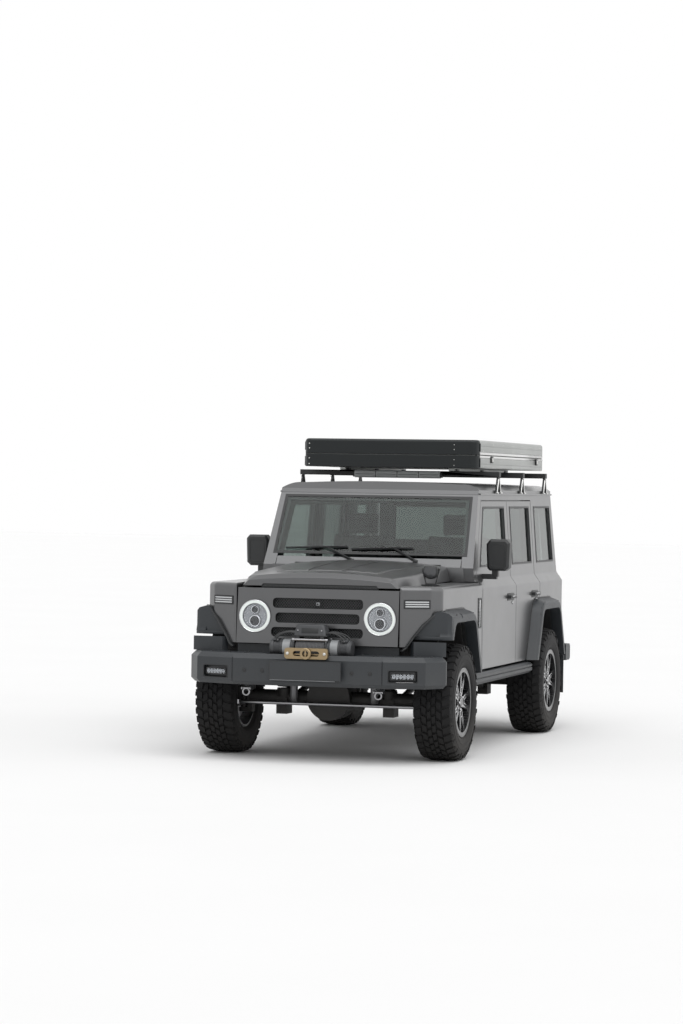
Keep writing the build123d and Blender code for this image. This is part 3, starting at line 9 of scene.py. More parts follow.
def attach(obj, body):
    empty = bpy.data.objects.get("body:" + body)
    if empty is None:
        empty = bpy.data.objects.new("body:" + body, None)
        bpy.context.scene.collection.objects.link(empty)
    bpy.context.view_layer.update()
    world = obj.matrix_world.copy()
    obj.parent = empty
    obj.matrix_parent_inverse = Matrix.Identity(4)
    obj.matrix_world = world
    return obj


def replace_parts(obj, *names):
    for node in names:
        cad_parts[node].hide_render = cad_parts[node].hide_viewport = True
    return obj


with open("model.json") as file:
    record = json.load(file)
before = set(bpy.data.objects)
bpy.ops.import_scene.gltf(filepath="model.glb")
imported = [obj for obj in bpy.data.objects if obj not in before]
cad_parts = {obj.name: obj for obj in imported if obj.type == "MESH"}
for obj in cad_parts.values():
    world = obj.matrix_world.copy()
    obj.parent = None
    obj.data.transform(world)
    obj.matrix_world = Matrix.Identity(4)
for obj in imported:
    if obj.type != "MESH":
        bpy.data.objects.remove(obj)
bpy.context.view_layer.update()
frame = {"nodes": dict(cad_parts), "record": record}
nodes = frame["nodes"]
scene = bpy.context.scene
print("frame loaded:", len(nodes), "nodes")


def place(tree, kind, inputs=None, **settings):
    node = tree.nodes.new("ShaderNode" + kind)
    for key, value in settings.items():
        setattr(node, key, value)
    for key, value in (inputs or {}).items():
        node.inputs[key].default_value = value
    return node


# Wiring is written as "node.socket > node.socket", with a number for a socket without a name of its own
def wire(tree, made, wiring):
    for link in wiring.split(", "):
        ends = []
        for end in link.split(" > "):
            node, socket = end.split(".")
            ends.append((made[node], int(socket) if socket.isdigit() else socket))
        (source, output), (target, socket) = ends
        tree.links.new(source.outputs[output], target.inputs[socket])


def makeGroup(name, inputs, outputs, parts, wiring):
    group = bpy.data.node_groups.new(name, "ShaderNodeTree")
    for label, value in inputs.items():
        kind = "NodeSocketColor" if isinstance(value, tuple) else "NodeSocketFloat"
        group.interface.new_socket(label, in_out="INPUT", socket_type=kind).default_value = value
    for label in outputs:
        kind = "NodeSocketColor" if label == "Color" else "NodeSocketFloat"
        group.interface.new_socket(label, in_out="OUTPUT", socket_type=kind)
    made = {"in": group.nodes.new("NodeGroupInput"), "out": group.nodes.new("NodeGroupOutput")}
    for key, (kind, settings) in parts.items():
        made[key] = place(group, kind, **settings)
    wire(group, made, wiring)
    return group


# Two tones that drift into each other over the surface
toneDrift = makeGroup(
    "toneDrift", {"Tone": (0.5, 0.5, 0.5, 1), "Other Tone": (0.4, 0.4, 0.4, 1), "Scale": 4.0,
                  "Roughness": 0.5, "Spread": 0.1}, ["Color", "Roughness"],
    {"where": ("TexCoord", {}), "noise": ("TexNoise", {"inputs": {"Detail": 5.0}}),
     "mix": ("Mix", {"data_type": "RGBA"}), "span": ("Math", {"operation": "MULTIPLY_ADD"}),
     "centre": ("Math", {"operation": "SUBTRACT", "inputs": {1: 0.5}})},
    "where.Object > noise.Vector, in.Scale > noise.Scale, noise.Fac > mix.Factor, in.Tone > mix.A, "
    "in.Other Tone > mix.B, noise.Fac > centre.0, centre.0 > span.0, in.Spread > span.1, "
    "in.Roughness > span.2, mix.Result > out.Color, span.0 > out.Roughness")

# Moulded or cast grain as a height
castGrain = makeGroup(
    "castGrain", {"Scale": 900.0, "Depth": 0.0004}, ["Height"],
    {"where": ("TexCoord", {}), "cells": ("TexVoronoi", {"feature": "SMOOTH_F1"}),
     "depth": ("Math", {"operation": "MULTIPLY"})},
    "where.Object > cells.Vector, in.Scale > cells.Scale, cells.Distance > depth.0, "
    "in.Depth > depth.1, depth.0 > out.Height")

# Woven cloth as a height: warp and weft
thread = {"inputs": {"Distortion": 0.6}}
clothWeave = makeGroup(
    "clothWeave", {"Scale": 120.0, "Depth": 0.0004}, ["Height"],
    {"where": ("TexCoord", {}), "parts": ("SeparateXYZ", {}), "flat": ("CombineXYZ", {}),
     "sum": ("Math", {"operation": "ADD"}), "depth": ("Math", {"operation": "MULTIPLY"}),
     "both": ("Math", {"operation": "MAXIMUM"}), "warp": ("TexWave", {"bands_direction": "X", **thread}),
     "weft": ("TexWave", {"bands_direction": "Y", **thread})},
    "where.Object > parts.0, parts.Y > sum.0, parts.Z > sum.1, parts.X > flat.X, sum.0 > flat.Y, "
    "flat.Vector > warp.Vector, in.Scale > warp.Scale, warp.Fac > both.0, "
    "flat.Vector > weft.Vector, in.Scale > weft.Scale, weft.Fac > both.1, "
    "both.0 > depth.0, in.Depth > depth.1, depth.0 > out.Height")

# Road dust that thins out with height
roadDust = makeGroup(
    "roadDust", {"Color": (0.5, 0.5, 0.5, 1), "Roughness": 0.5, "Dust": (0.17, 0.155, 0.135, 1),
                 "Top": 0.7, "Amount": 0.4}, ["Color", "Roughness"],
    {"where": ("TexCoord", {}), "parts": ("SeparateXYZ", {}),
     "fade": ("MapRange", {"interpolation_type": "SMOOTHSTEP", "inputs": {"To Min": 1.0, "To Max": 0.0}}),
     "noise": ("TexNoise", {"inputs": {"Scale": 9.0, "Detail": 6.0}}),
     "patch": ("Math", {"operation": "MULTIPLY"}), "share": ("Math", {"operation": "MULTIPLY"}),
     "mix": ("Mix", {"data_type": "RGBA"}), "dull": ("Mix", {"data_type": "FLOAT", "inputs": {"B": 0.9}})},
    "where.Object > parts.0, where.Object > noise.Vector, parts.Z > fade.Value, in.Top > fade.From Max, "
    "fade.Result > patch.0, noise.Fac > patch.1, patch.0 > share.0, in.Amount > share.1, "
    "share.0 > mix.Factor, in.Color > mix.A, in.Dust > mix.B, share.0 > dull.Factor, "
    "in.Roughness > dull.A, mix.Result > out.Color, dull.Result > out.Roughness")

# Finishes: tone, other tone, roughness and its spread, scale and depth of the grain, and what only some have
finishes = {
    "bodyPaint": ((0.112, 0.113, 0.116), (0.099, 0.1, 0.103), 0.33, 0.05, 2600, 0.00001,
                  dict(metal=0.8, coat=0.5, dust=0.1, dustTop=0.95)),
    "texturedPlastic": ((0.021, 0.025, 0.029), (0.016, 0.019, 0.023), 0.44, 0.1, 700, 0.0003,
                        dict(dust=0.3, dustTop=0.9)),
    "blackSteel": ((0.014, 0.015, 0.016), (0.022, 0.023, 0.024), 0.5, 0.2, 1200, 0.00008,
                   dict(dust=0.2, dustTop=0.7)),
    "chassisBlack": ((0.008, 0.008, 0.009), (0.014, 0.013, 0.012), 0.62, 0.25, 300, 0.0002,
                     dict(dust=0.25, dustTop=0.85)),
    "castMetal": ((0.034, 0.034, 0.035), (0.024, 0.023, 0.022), 0.55, 0.2, 420, 0.0003,
                  dict(metal=0.6, dust=0.2, dustTop=0.9)),
    "steel": ((0.42, 0.42, 0.43), (0.33, 0.33, 0.34), 0.32, 0.2, 900, 0.00004,
              dict(metal=1.0, dust=0.1, dustTop=0.6)),
    "trimBlack": ((0.01, 0.011, 0.012), (0.016, 0.017, 0.018), 0.42, 0.1, 900, 0.00008,
                  dict(dust=0.1, dustTop=0.8)),
    "goldMetal": ((0.36, 0.27, 0.16), (0.28, 0.21, 0.12), 0.4, 0.2, 900, 0.00005, dict(metal=0.85)),
    "tentPanel": ((0.38, 0.39, 0.38), (0.33, 0.34, 0.33), 0.36, 0.1, 1500, 0.00003, dict(metal=0.75)),
    "tentFront": ((0.004, 0.006, 0.007), (0.006, 0.009, 0.01), 0.34, 0.1, 1500, 0.00003,
                  dict(specular=0.35)),
    "interiorPlastic": ((0.02, 0.02, 0.021), (0.028, 0.028, 0.029), 0.7, 0.1, 800, 0.0002, {}),
    "tyreRubber": ((0.006, 0.006, 0.007), (0.011, 0.011, 0.011), 0.66, 0.2, 260, 0.0004,
                   dict(specular=0.2, dust=0.1, dustTop=0.5)),
    "rimBlack": ((0.012, 0.012, 0.013), (0.017, 0.017, 0.018), 0.3, 0.1, 1500, 0.00002, dict(coat=0.5)),
    "rimSilver": ((0.6, 0.6, 0.61), (0.52, 0.52, 0.53), 0.24, 0.1, 1500, 0.00002, dict(metal=1.0)),
    "tyreSide": ((0.011, 0.011, 0.012), (0.019, 0.018, 0.018), 0.72, 0.1, 400, 0.0002,
                 dict(specular=0.25, dust=0.26, dustTop=0.42)),
    "plateBlank": ((0.01, 0.012, 0.015), (0.014, 0.017, 0.02), 0.45, 0.1, 2600, 0.00002, dict(coat=0.3)),
    "winchGrey": ((0.06, 0.062, 0.066), (0.045, 0.047, 0.05), 0.45, 0.15, 900, 0.00008,
                  dict(metal=0.3, dust=0.2, dustTop=1.0)),
    "haloWhite": ((0.74, 0.78, 0.76), (0.7, 0.74, 0.72), 0.25, 0.05, 2600, 0.00001, dict(glow=0.18)),
    "lampBowl": ((0.34, 0.35, 0.36), (0.28, 0.29, 0.3), 0.26, 0.1, 2600, 0.00001,
                 dict(metal=0.85, coat=0.2)),
    "lampDark": ((0.02, 0.021, 0.023), (0.027, 0.028, 0.03), 0.3, 0.1, 2600, 0.00001,
                 dict(metal=0.4, coat=0.3)),
    "paleLens": ((0.46, 0.47, 0.48), (0.4, 0.41, 0.42), 0.2, 0.05, 2600, 0.00001,
                 dict(coat=0.4, glow=0.1)),
    "smokedLens": ((0.06, 0.062, 0.066), (0.05, 0.052, 0.056), 0.12, 0.05, 2600, 0.00001,
                   dict(metal=0.5, coat=0.6)),
    "polished": ((0.74, 0.74, 0.73), (0.66, 0.66, 0.65), 0.18, 0.1, 1500, 0.00002, dict(metal=0.95)),
    "chrome": ((0.72, 0.73, 0.74), (0.66, 0.67, 0.68), 0.12, 0.05, 2600, 0.00001, dict(metal=1.0)),
    "meshGrey": ((0.17, 0.175, 0.18), (0.12, 0.125, 0.13), 0.38, 0.15, 1500, 0.00004, dict(metal=0.6)),
    "brightPlastic": ((0.3, 0.31, 0.32), (0.26, 0.27, 0.28), 0.35, 0.1, 1500, 0.00003, {}),
    "paleCover": ((0.62, 0.64, 0.64), (0.55, 0.57, 0.57), 0.4, 0.1, 1500, 0.00004, {}),
    "paleMetal": ((0.62, 0.62, 0.6), (0.52, 0.52, 0.5), 0.35, 0.15, 1200, 0.00004, dict(metal=0.6)),
    "ropeGrey": ((0.15, 0.15, 0.155), (0.1, 0.1, 0.105), 0.75, 0.15, 2200, 0.0002, dict(driftScale=60.0)),
    "mirrorSilver": ((0.8, 0.82, 0.83), (0.77, 0.79, 0.8), 0.04, 0.02, 2600, 0.000002, dict(metal=1.0)),
    "seatFabric": ((0.056, 0.057, 0.06), (0.044, 0.045, 0.048), 0.85, 0.08, 110, 0.0004, dict(woven=True)),
    "tailRed": ((0.26, 0.01, 0.008), (0.2, 0.008, 0.006), 0.22, 0.05, 2600, 0.00001, dict(coat=0.8)),
    "springDark": ((0.03, 0.03, 0.032), (0.048, 0.046, 0.044), 0.5, 0.2, 900, 0.00005,
                   dict(coat=0.2, dust=0.4, dustTop=0.8)),
    "damperGrey": ((0.2, 0.2, 0.21), (0.15, 0.15, 0.155), 0.4, 0.2, 900, 0.00005,
                   dict(metal=0.6, dust=0.4, dustTop=0.8)),
}
glasses = {"clearGlass": ((0.32, 0.375, 0.355), 0.012), "darkGlass": ((0.15, 0.18, 0.17), 0.012),
           "lampLens": ((0.97, 0.98, 1.0), 0.01)}


def newMaterial(name, inputs):
    material = bpy.data.materials.new(name)
    material.use_nodes = True
    shader = material.node_tree.nodes["Principled BSDF"]
    for key, value in inputs.items():
        shader.inputs[key].default_value = value
    return material, material.node_tree, shader


def drifting(tree, tone, other, scale, rough, **more):
    return place(tree, "Group", {"Tone": (*tone, 1), "Other Tone": (*other, 1), "Scale": scale,
                                 "Roughness": rough, **more}, node_tree=toneDrift)


def makeFinish(name, tone, other, rough, spread, scale, depth, look):
    material, tree, shader = newMaterial(name, {
        "Metallic": look.get("metal", 0.0), "Specular IOR Level": look.get("specular", 0.5),
        "Coat Weight": look.get("coat", 0.0), "Coat Roughness": 0.2})
    if "glow" in look:
        shader.inputs["Emission Color"].default_value = (*tone, 1)
        shader.inputs["Emission Strength"].default_value = look["glow"]
    grain = clothWeave if "woven" in look else castGrain
    made = {"shader": shader,
            "drift": drifting(tree, tone, other, look.get("driftScale", 5.0), rough, Spread=spread),
            "grain": place(tree, "Group", {"Scale": scale, "Depth": depth}, node_tree=grain),
            "bump": place(tree, "Bump", {"Distance": 1.0})}
    last, wiring = "drift", "grain.Height > bump.Height, bump.Normal > shader.Normal, "
    if "dust" in look:
        made["dust"] = place(tree, "Group", {"Top": look["dustTop"], "Amount": look["dust"]},
                             node_tree=roadDust)
        last, wiring = "dust", wiring + "drift.Color > dust.Color, drift.Roughness > dust.Roughness, "
    wire(tree, made, wiring + f"{last}.Color > shader.Base Color, {last}.Roughness > shader.Roughness")
    return material


# Glass lets light through to what lies behind the pane
def makeGlass(name, tint, rough):
    material, tree, shader = newMaterial(name, {"Transmission Weight": 1.0, "IOR": 1.36})
    drift = drifting(tree, tint, [part * 0.94 for part in tint], 2.0, rough, Spread=rough)
    through = place(tree, "BsdfTransparent", {"Color": (*[part ** 0.5 for part in tint], 1)})
    wire(tree, {"shader": shader, "drift": drift, "through": through, "path": place(tree, "LightPath"),
                "both": place(tree, "MixShader"), "out": tree.nodes["Material Output"]},
         "drift.Color > shader.Base Color, drift.Roughness > shader.Roughness, shader.BSDF > both.1, "
         "path.Is Shadow Ray > both.Fac, through.BSDF > both.2, both.Shader > out.Surface")
    return material


materials = {name: makeFinish(name, *look) for name, look in finishes.items()}
materials.update({name: makeGlass(name, *look) for name, look in glasses.items()})
print("finishes made:", len(materials))

# Finish of each CAD node
corners = ["front_left", "front_right", "rear_left", "rear_right"]
nodeFinish = {
    "bodyPaint": ["body_shell", "roof_panel", "front_panel", "front_wings", "bonnet", "tailgate"]
    + ["door_" + corner for corner in corners],
    "texturedPlastic": ["wheel_flares", "front_bumper", "rear_bumper", "side_steps"],
    "chassisBlack": ["ladder_frame", "exhaust", "fuel_tank", "floor_pan", "inner_wings"],
    "castMetal": ["engine", "front_axle", "rear_axle", "knuckle_left", "knuckle_right", "suspension"],
    "steel": ["track_rod"],
    "rimBlack": ["spare_rim"] + ["rim_" + corner for corner in corners],
    "trimBlack": ["mirror_left", "mirror_right", "wing_mirror_pod", "grille_mesh", "radiator", "roof_rack",
                  "winch"],
    "goldMetal": ["fairlead"],
    "tentPanel": ["tent_base", "tent_lid"],
    "interiorPlastic": ["dashboard", "steering_wheel", "front_seats", "rear_bench"],
    "tyreRubber": ["spare_tyre"] + ["tyre_" + corner for corner in corners],
    "clearGlass": ["fixed_glass", "glass_front_left", "glass_front_right"],
    "darkGlass": ["glass_rear_left", "glass_rear_right", "tailgate_glass"],
    "lampDark": ["front_lamps"],
    "lampLens": ["fog_lamps"],
    "tailRed": ["rear_lamps"],
}
for finish, names in nodeFinish.items():
    for name in names:
        mesh = nodes[name].data
        mesh.materials.clear()
        mesh.materials.append(materials[finish])
print("nodes finished:", sum(len(names) for names in nodeFinish.values()))


# A second finish on the faces of a CAD node whose middle is chosen
def secondFinish(name, finish, chosen):
    mesh = nodes[name].data
    mesh.materials.append(materials[finish])
    for polygon in mesh.polygons:
        if chosen(polygon.center):
            polygon.material_index = 1


def shift(x, y, z):
    return Matrix.Translation((x, y, z))


def turnBy(degrees, axis):
    return Matrix.Rotation(math.radians(degrees), 4, axis)


def axes(*columns):
    return Matrix(columns).transposed().to_4x4()


# Places of the main axes and faces, in metres
frontY, rearY, tailY = -1.547, 1.313, 2.046
axleZ, wheelX = 0.414, 0.8025
lengthways = turnBy(90, "X")  # turns a piece made along Z so that it lies along Y
crossways = turnBy(90, "Y")  # and along X


# The same shifts for a part that lies along Y, and along X
def along(x, y, z):
    return shift(x, y, z) @ lengthways


def across(x, y, z):
    return shift(x, y, z) @ crossways


def flip(part):
    bmesh.ops.scale(part, vec=(-1, 1, 1), verts=part.verts)
    bmesh.ops.reverse_faces(part, faces=part.faces)


# Adds a part to a piece, at a matrix or a plain shift, and its mirror image too when both is set
def join(bm, part, index=0, at=(0, 0, 0), both=False):
    if index is not None:
        for face in part.faces:
            face.material_index = index
    bmesh.ops.transform(part, matrix=at if isinstance(at, Matrix) else shift(*at), verts=part.verts)
    scratch = bpy.data.meshes.new("scratch")
    for again in range(2 if both else 1):
        if again:
            flip(part)
        part.to_mesh(scratch)
        bm.from_mesh(scratch)
    part.free()
    bpy.data.meshes.remove(scratch)


def bevel(part, edges, width, segments=2):
    bmesh.ops.bevel(part, geom=edges, offset=width, segments=segments, profile=0.5, affect="EDGES",
                    material=-1, clamp_overlap=True)


# Edges that run along one axis, 0 to 2 for X to Z, and the face that stands highest
def edgesAlong(part, axis):
    return [edge for edge in part.edges if abs(edge.verts[0].co[axis] - edge.verts[1].co[axis]) > 0.01]


def topFace(part):
    return max(part.faces, key=lambda face: face.calc_center_median().z)


def soften(part, width, segments=2, sharp=30):
    if width:
        bevel(part, [edge for edge in part.edges if len(edge.link_faces) == 2
                     and edge.calc_face_angle(0) > math.radians(sharp)], width, segments)
    return part


def box(size, soft=0.0, segments=2):
    part = bmesh.new()
    bmesh.ops.create_cube(part, size=1.0)
    bmesh.ops.scale(part, vec=size, verts=part.verts)
    return soften(part, soft, segments)


def span(low, high, soft=0.0):
    pairs = [sorted(pair) for pair in zip(low, high)]
    part = box([b - a for a, b in pairs], soft)
    bmesh.ops.translate(part, vec=[(a + b) / 2 for a, b in pairs], verts=part.verts)
    return part


def disc(radius, depth, soft=0.0, sides=32):
    part = bmesh.new()
    bmesh.ops.create_cone(part, cap_ends=True, segments=sides, radius1=radius, radius2=radius, depth=depth)
    return soften(part, soft, 2, 50)


def outlineFace(points):
    part = bmesh.new()
    return part, part.faces.new([part.verts.new((x, y, 0)) for x, y in points])


def thicken(part, depth, soft, segments):
    made = bmesh.ops.extrude_face_region(part, geom=list(part.faces))["geom"]
    bmesh.ops.translate(part, vec=(0, 0, depth),
                        verts=[item for item in made if isinstance(item, bmesh.types.BMVert)])
    bmesh.ops.recalc_face_normals(part, faces=part.faces)
    return soften(part, soft, segments)


def prism(points, depth, soft=0.0):
    return thicken(outlineFace(points)[0], depth, soft, 2)


# A flat frame inside an outline
def frameStrip(outline, wide, thick, soft=0.0012):
    part, face = outlineFace(outline)
    face.normal_update()
    if face.normal.z < 0:
        face.normal_flip()
    bmesh.ops.inset_region(part, faces=[face], thickness=wide, depth=0.0, use_even_offset=True,
                           use_boundary=True)
    bmesh.ops.delete(part, geom=[face], context="FACES")
    return thicken(part, thick, soft, 1)


# A closed profile of radius and height, spun round Z
def turned(profile, steps=48):
    part = bmesh.new()
    verts = [part.verts.new((radius, 0, z)) for radius, z in profile]
    edges = [part.edges.new((verts[i - 1], verts[i])) for i in range(len(verts))]
    bmesh.ops.spin(part, geom=verts + edges, cent=(0, 0, 0), axis=(0, 0, 1), angle=2 * math.pi,
                   steps=steps, use_merge=True)
    bmesh.ops.remove_doubles(part, verts=part.verts, dist=0.00001)
    bmesh.ops.delete(part, geom=[edge for edge in part.edges if not edge.link_faces], context="EDGES")
    bmesh.ops.recalc_face_normals(part, faces=part.faces)
    return part


# The edge of a round step between two radii and two levels
def band(inner, outer, low, high, steps=24):
    return turned([(inner, low), (outer, low), (outer, high), (inner, high)], steps)


def roundRing(radius, thick, steps=48, sides=10):
    angles = [2 * math.pi * k / sides for k in range(sides)]
    return turned([(radius + thick * math.cos(a), thick * math.sin(a)) for a in angles], steps)


def bar(start, end, width, depth, soft=0.0, up=(0, 0, 1)):
    start, end = Vector(start), Vector(end)
    run = end - start
    side = Vector(up).cross(run).normalized()
    ahead = run.normalized()
    part = box((width, depth, run.length), soft)
    turn = axes(side, ahead.cross(side), ahead)
    bmesh.ops.transform(part, matrix=Matrix.Translation((start + end) / 2) @ turn, verts=part.verts)
    return part


def tube(points, radius, sides=10):
    curve = bpy.data.curves.new("scratchLine", "CURVE")
    curve.dimensions = "3D"
    line = curve.splines.new("NURBS")
    line.points.add(len(points) - 1)
    for point, spot in zip(line.points, points):
        point.co = (*spot, 1)
    line.order_u = 3
    line.use_endpoint_u = True
    curve.bevel_depth = radius
    curve.bevel_resolution = sides // 2 - 1
    curve.use_fill_caps = True
    made = bpy.data.objects.new("scratchLine", curve)
    mesh = bpy.data.meshes.new_from_object(made)
    part = bmesh.new()
    part.from_mesh(mesh)
    bmesh.ops.remove_doubles(part, verts=part.verts, dist=0.00001)
    bmesh.ops.recalc_face_normals(part, faces=part.faces)
    bpy.data.objects.remove(made)
    bpy.data.curves.remove(curve)
    bpy.data.meshes.remove(mesh)
    return part


# Four bars round a rectangle: level ones by half length and edges, upright ones by edges and half height
def fourBars(bm, reach, level, upright, half, depth, soft, index, at):
    back, front = depth
    for sign in (1, -1):
        for low, high in (((-reach, back, sign * level[0]), (reach, front, sign * level[1])),
                          ((sign * upright[0], back, -half), (sign * upright[1], front, half))):
            join(bm, span(low, high, soft), index, at, True)


def finishPiece(name, bm, looks, body="root", sharp=34, copied=False):
    if not copied:
        bmesh.ops.recalc_face_normals(bm, faces=bm.faces)
    mesh = bpy.data.meshes.new(name)
    bm.to_mesh(mesh)
    bm.free()
    piece = bpy.data.objects.new(name, mesh)
    scene.collection.objects.link(piece)
    for look in looks:
        mesh.materials.append(materials[look])
    mesh.shade_smooth()
    mesh.set_sharp_from_angle(angle=math.radians(sharp))
    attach(piece, body)
    return piece


def bodyOf(node):
    return next(body for body, members in frame["record"]["behaviour"]["bodies"].items() if node in members)


# The CAD shape with rounded edges, evenly shaded; pick chooses the faces of the second finish
def roundedCopy(node, width, looks, pick=None):
    bm = bmesh.new()
    bm.from_mesh(nodes[node].data)
    bmesh.ops.remove_doubles(bm, verts=bm.verts, dist=0.00002)
    bmesh.ops.dissolve_limit(bm, angle_limit=math.radians(0.6), verts=bm.verts, edges=bm.edges)
    if pick:
        for face in bm.faces:
            face.material_index = int(pick(face.calc_center_median()))
    piece = finishPiece(node + "_skin", soften(bm, width, 2, 28), looks, bodyOf(node), copied=True)
    modifier = piece.modifiers.new("evenShade", "WEIGHTED_NORMAL")
    modifier.keep_sharp = True
    modifier.weight = 100
    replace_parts(piece, node)


def handlePick(centre):
    return abs(centre.x) > 0.8605 and 1.09 < centre.z < 1.13


def tentPick(centre):
    return centre.y < frontY + 1.402


def rackPick(centre):
    return abs(centre.x) < 0.337 and -0.004 < centre.y < 0.05 and centre.z < 2.0565


def bumperPick(centre):
    return centre.y < frontY - 0.799


# Panels and steel pieces whose edges catch the light
skins = [
    # finishes, slot, chooser of the second finish, and the edge width of each node
    (["bodyPaint"], "body_paint", None, {"body_shell": 0.004, "roof_panel": 0.004, "front_panel": 0.005,
                                         "front_wings": 0.003, "bonnet": 0.003, "tailgate": 0.004}),
    (["texturedPlastic", "plateBlank"], "textured_plastic", bumperPick, {"front_bumper": 0.004}),
    (["texturedPlastic"], "textured_plastic", None,
     {"rear_bumper": 0.004, "side_steps": 0.004, "wheel_flares": 0.004}),
    (["trimBlack"], "textured_plastic", None, {"mirror_left": 0.006, "mirror_right": 0.006}),
    (["goldMetal"], "gold_metal", None, {"fairlead": 0.004}),
    (["blackSteel", "paleCover"], "black_steel", rackPick, {"roof_rack": 0.003}),
    (["tentPanel", "tentFront"], "tent_shell", tentPick, {"tent_base": 0.004, "tent_lid": 0.004}),
    (["bodyPaint", "trimBlack"], "body_paint", handlePick, {"door_" + corner: 0.003 for corner in corners}),
]
for looks, slotName, pick, widths in skins:
    for node, width in widths.items():
        roundedCopy(node, width, looks, pick)
print("skins made")

# Tyres: a turned carcass, staggered tread blocks and shoulder lugs
tyreLook = {
    "pitches": 38, "base": 0.392,
    "profile": [(0.112, 0.2312), (0.125, 0.247), (0.1385, 0.268), (0.142, 0.298), (0.1424, 0.325),
                (0.1395, 0.35), (0.133, 0.374), (0.125, 0.391), (0.112, 0.4), (0.06, 0.4015)],
    # inner and outer edge, top radius at each, length along the tread, place within a pitch, slant
    "rows": [(0.003, 0.03, 0.4138, 0.4138, 0.05, 0.0, 0.006),
             (0.037, 0.07, 0.4138, 0.4136, 0.048, 0.5, -0.008),
             (0.078, 0.131, 0.4132, 0.401, 0.046, 0.15, 0.01)],
    # lugs that run down the sidewall, every second one longer
    "lugs": [(0.13, 0.1392, 0.401, 0.36, 0.03), (0.13, 0.1402, 0.4005, 0.378, 0.03)],
    # raised rings on the sidewall: radius and place
    "ribs": [(0.256, 0.1318), (0.302, 0.1418), (0.344, 0.1404)],
}


def treadPart(bm, side, angle, corner):
    part = box((1, 1, 1))
    for vert in part.verts:
        x, reach, slant, z = corner(vert.co.x > 0, vert.co.z > 0)
        vert.co = (side * x, (reach if vert.co.y > 0 else -reach) + slant * side, z)
    if side < 0:
        bmesh.ops.reverse_faces(part, faces=part.faces)
    join(bm, part, 1, Matrix.Rotation(angle, 4, "X"))


def makeTyre(look):
    bm = bmesh.new()
    profile = [(radius, x) for x, radius in look["profile"]]
    carcass = turned(profile + [(radius, -x) for radius, x in reversed(profile)], 76)
    for face in carcass.faces:
        face.material_index = int(face.calc_center_median().xy.length > look["base"])
    join(bm, carcass, None, crossways)
    pitch = 2 * math.pi / look["pitches"]
    for count in range(look["pitches"]):
        for side in (-1, 1):
            start = count + (0.5 if side < 0 else 0)
            for low, high, topLow, topHigh, length, share, slant in look["rows"]:
                treadPart(bm, side, pitch * (start + share * side), lambda outer, top: (
                    high if outer else low, length / 2 * (0.94 if top else 1.04), slant if outer else -slant,
                    (topHigh if outer else topLow) if top else look["base"]))
            low, high, crest, foot, length = look["lugs"][count % 2]
            treadPart(bm, side, pitch * (start + 0.15 * side), lambda outer, top: (
                (low if top else high) + 0.0018 if outer else 0.12, length / 2, 0, crest if top else foot))
    for radius, at in look["ribs"]:
        join(bm, roundRing(radius, 0.0022, 76, 6), 0, across(at, 0, 0), True)
    return bm


# Rims: polished edges round black pockets on each split spoke, a dark lip, nuts and a plain cap
rimLook = {"spokes": 5, "face": 0.104, "thick": 0.0045, "line": 0.0088, "bolts": 0.052,
           "outline": [(0.062, -0.03), (0.206, -0.0645), (0.2125, -0.0355), (0.112, -0.0085), (0.112, 0.0085),
                       (0.2125, 0.0355), (0.206, 0.0645), (0.062, 0.03)],
           "lip": [(0.236, 0.0205), (0.245, 0.0205), (0.2455, 0.0235), (0.244, 0.0252), (0.237, 0.0252),
                   (0.2358, 0.0235)],
           "cap": [(0.0, 0.0), (0.033, 0.0), (0.033, 0.011), (0.03, 0.014), (0.0, 0.0155)]}


def makeRimFace(look):
    bm = bmesh.new()
    for count in range(look["spokes"]):
        part = prism(look["outline"], look["thick"])
        bmesh.ops.inset_region(part, faces=[topFace(part)], thickness=look["line"], use_even_offset=True)
        front = max(part.faces, key=lambda face: face.calc_area() if face.normal.z > 0.9 else 0)
        bmesh.ops.inset_region(part, faces=[front], thickness=0.0012, depth=-0.0035, use_even_offset=True)
        for face in part.faces:
            level = face.calc_center_median().z
            face.material_index = 0 if abs(level - look["thick"]) < 0.0004 and face.normal.z > 0.9 else 1
        join(bm, part, None, turnBy(360 * count / look["spokes"] + 90, "Z"))
        angle = math.radians(360 * (count + 0.5) / look["spokes"] + 90)
        join(bm, disc(0.0105, 0.02, 0.0025, 6), 0,
             (look["bolts"] * math.cos(angle), look["bolts"] * math.sin(angle), 0.006))
    join(bm, turned(look["lip"], 72), 1)
    join(bm, turned(look["cap"], 32), 1, (0, 0, 0.002))
    join(bm, roundRing(0.0315, 0.0022, 40, 8), 0, (0, 0, 0.0135))
    bmesh.ops.transform(bm, matrix=across(look["face"], 0, 0), verts=bm.verts)
    return bm


def placeWheel(bm, side, middle, turn):
    if side < 0:
        flip(bm)
    bmesh.ops.transform(bm, matrix=shift(*middle) @ turnBy(turn, "Z"), verts=bm.verts)
    return bm


wheels = []  # name, tyre node, body, side, middle, turn
for corner in corners:
    side = 1 if "left" in corner else -1
    middle = (side * wheelX, frontY if "front" in corner else rearY, axleZ)
    wheels.append((corner, "tyre_" + corner, "wheel_" + corner, side, middle, 0))
    secondFinish("rim_" + corner, "steel", lambda centre: -0.066 < abs(centre.x) - wheelX < -0.036)
wheels.append(("spare", "spare_tyre", "tailgate", 1, (0.03, tailY + 0.1725, 1.1), 90))
for name, tyre, body, side, middle, turn in wheels:
    tread = finishPiece("tread_" + name, placeWheel(makeTyre(tyreLook), side, middle, turn),
                        ["tyreSide", "tyreRubber"], body, 40)
    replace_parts(tread, tyre)
    finishPiece("rimFace_" + name, placeWheel(makeRimFace(rimLook), side, middle, turn),
                ["rimSilver", "rimBlack"], body)
print("wheels made")

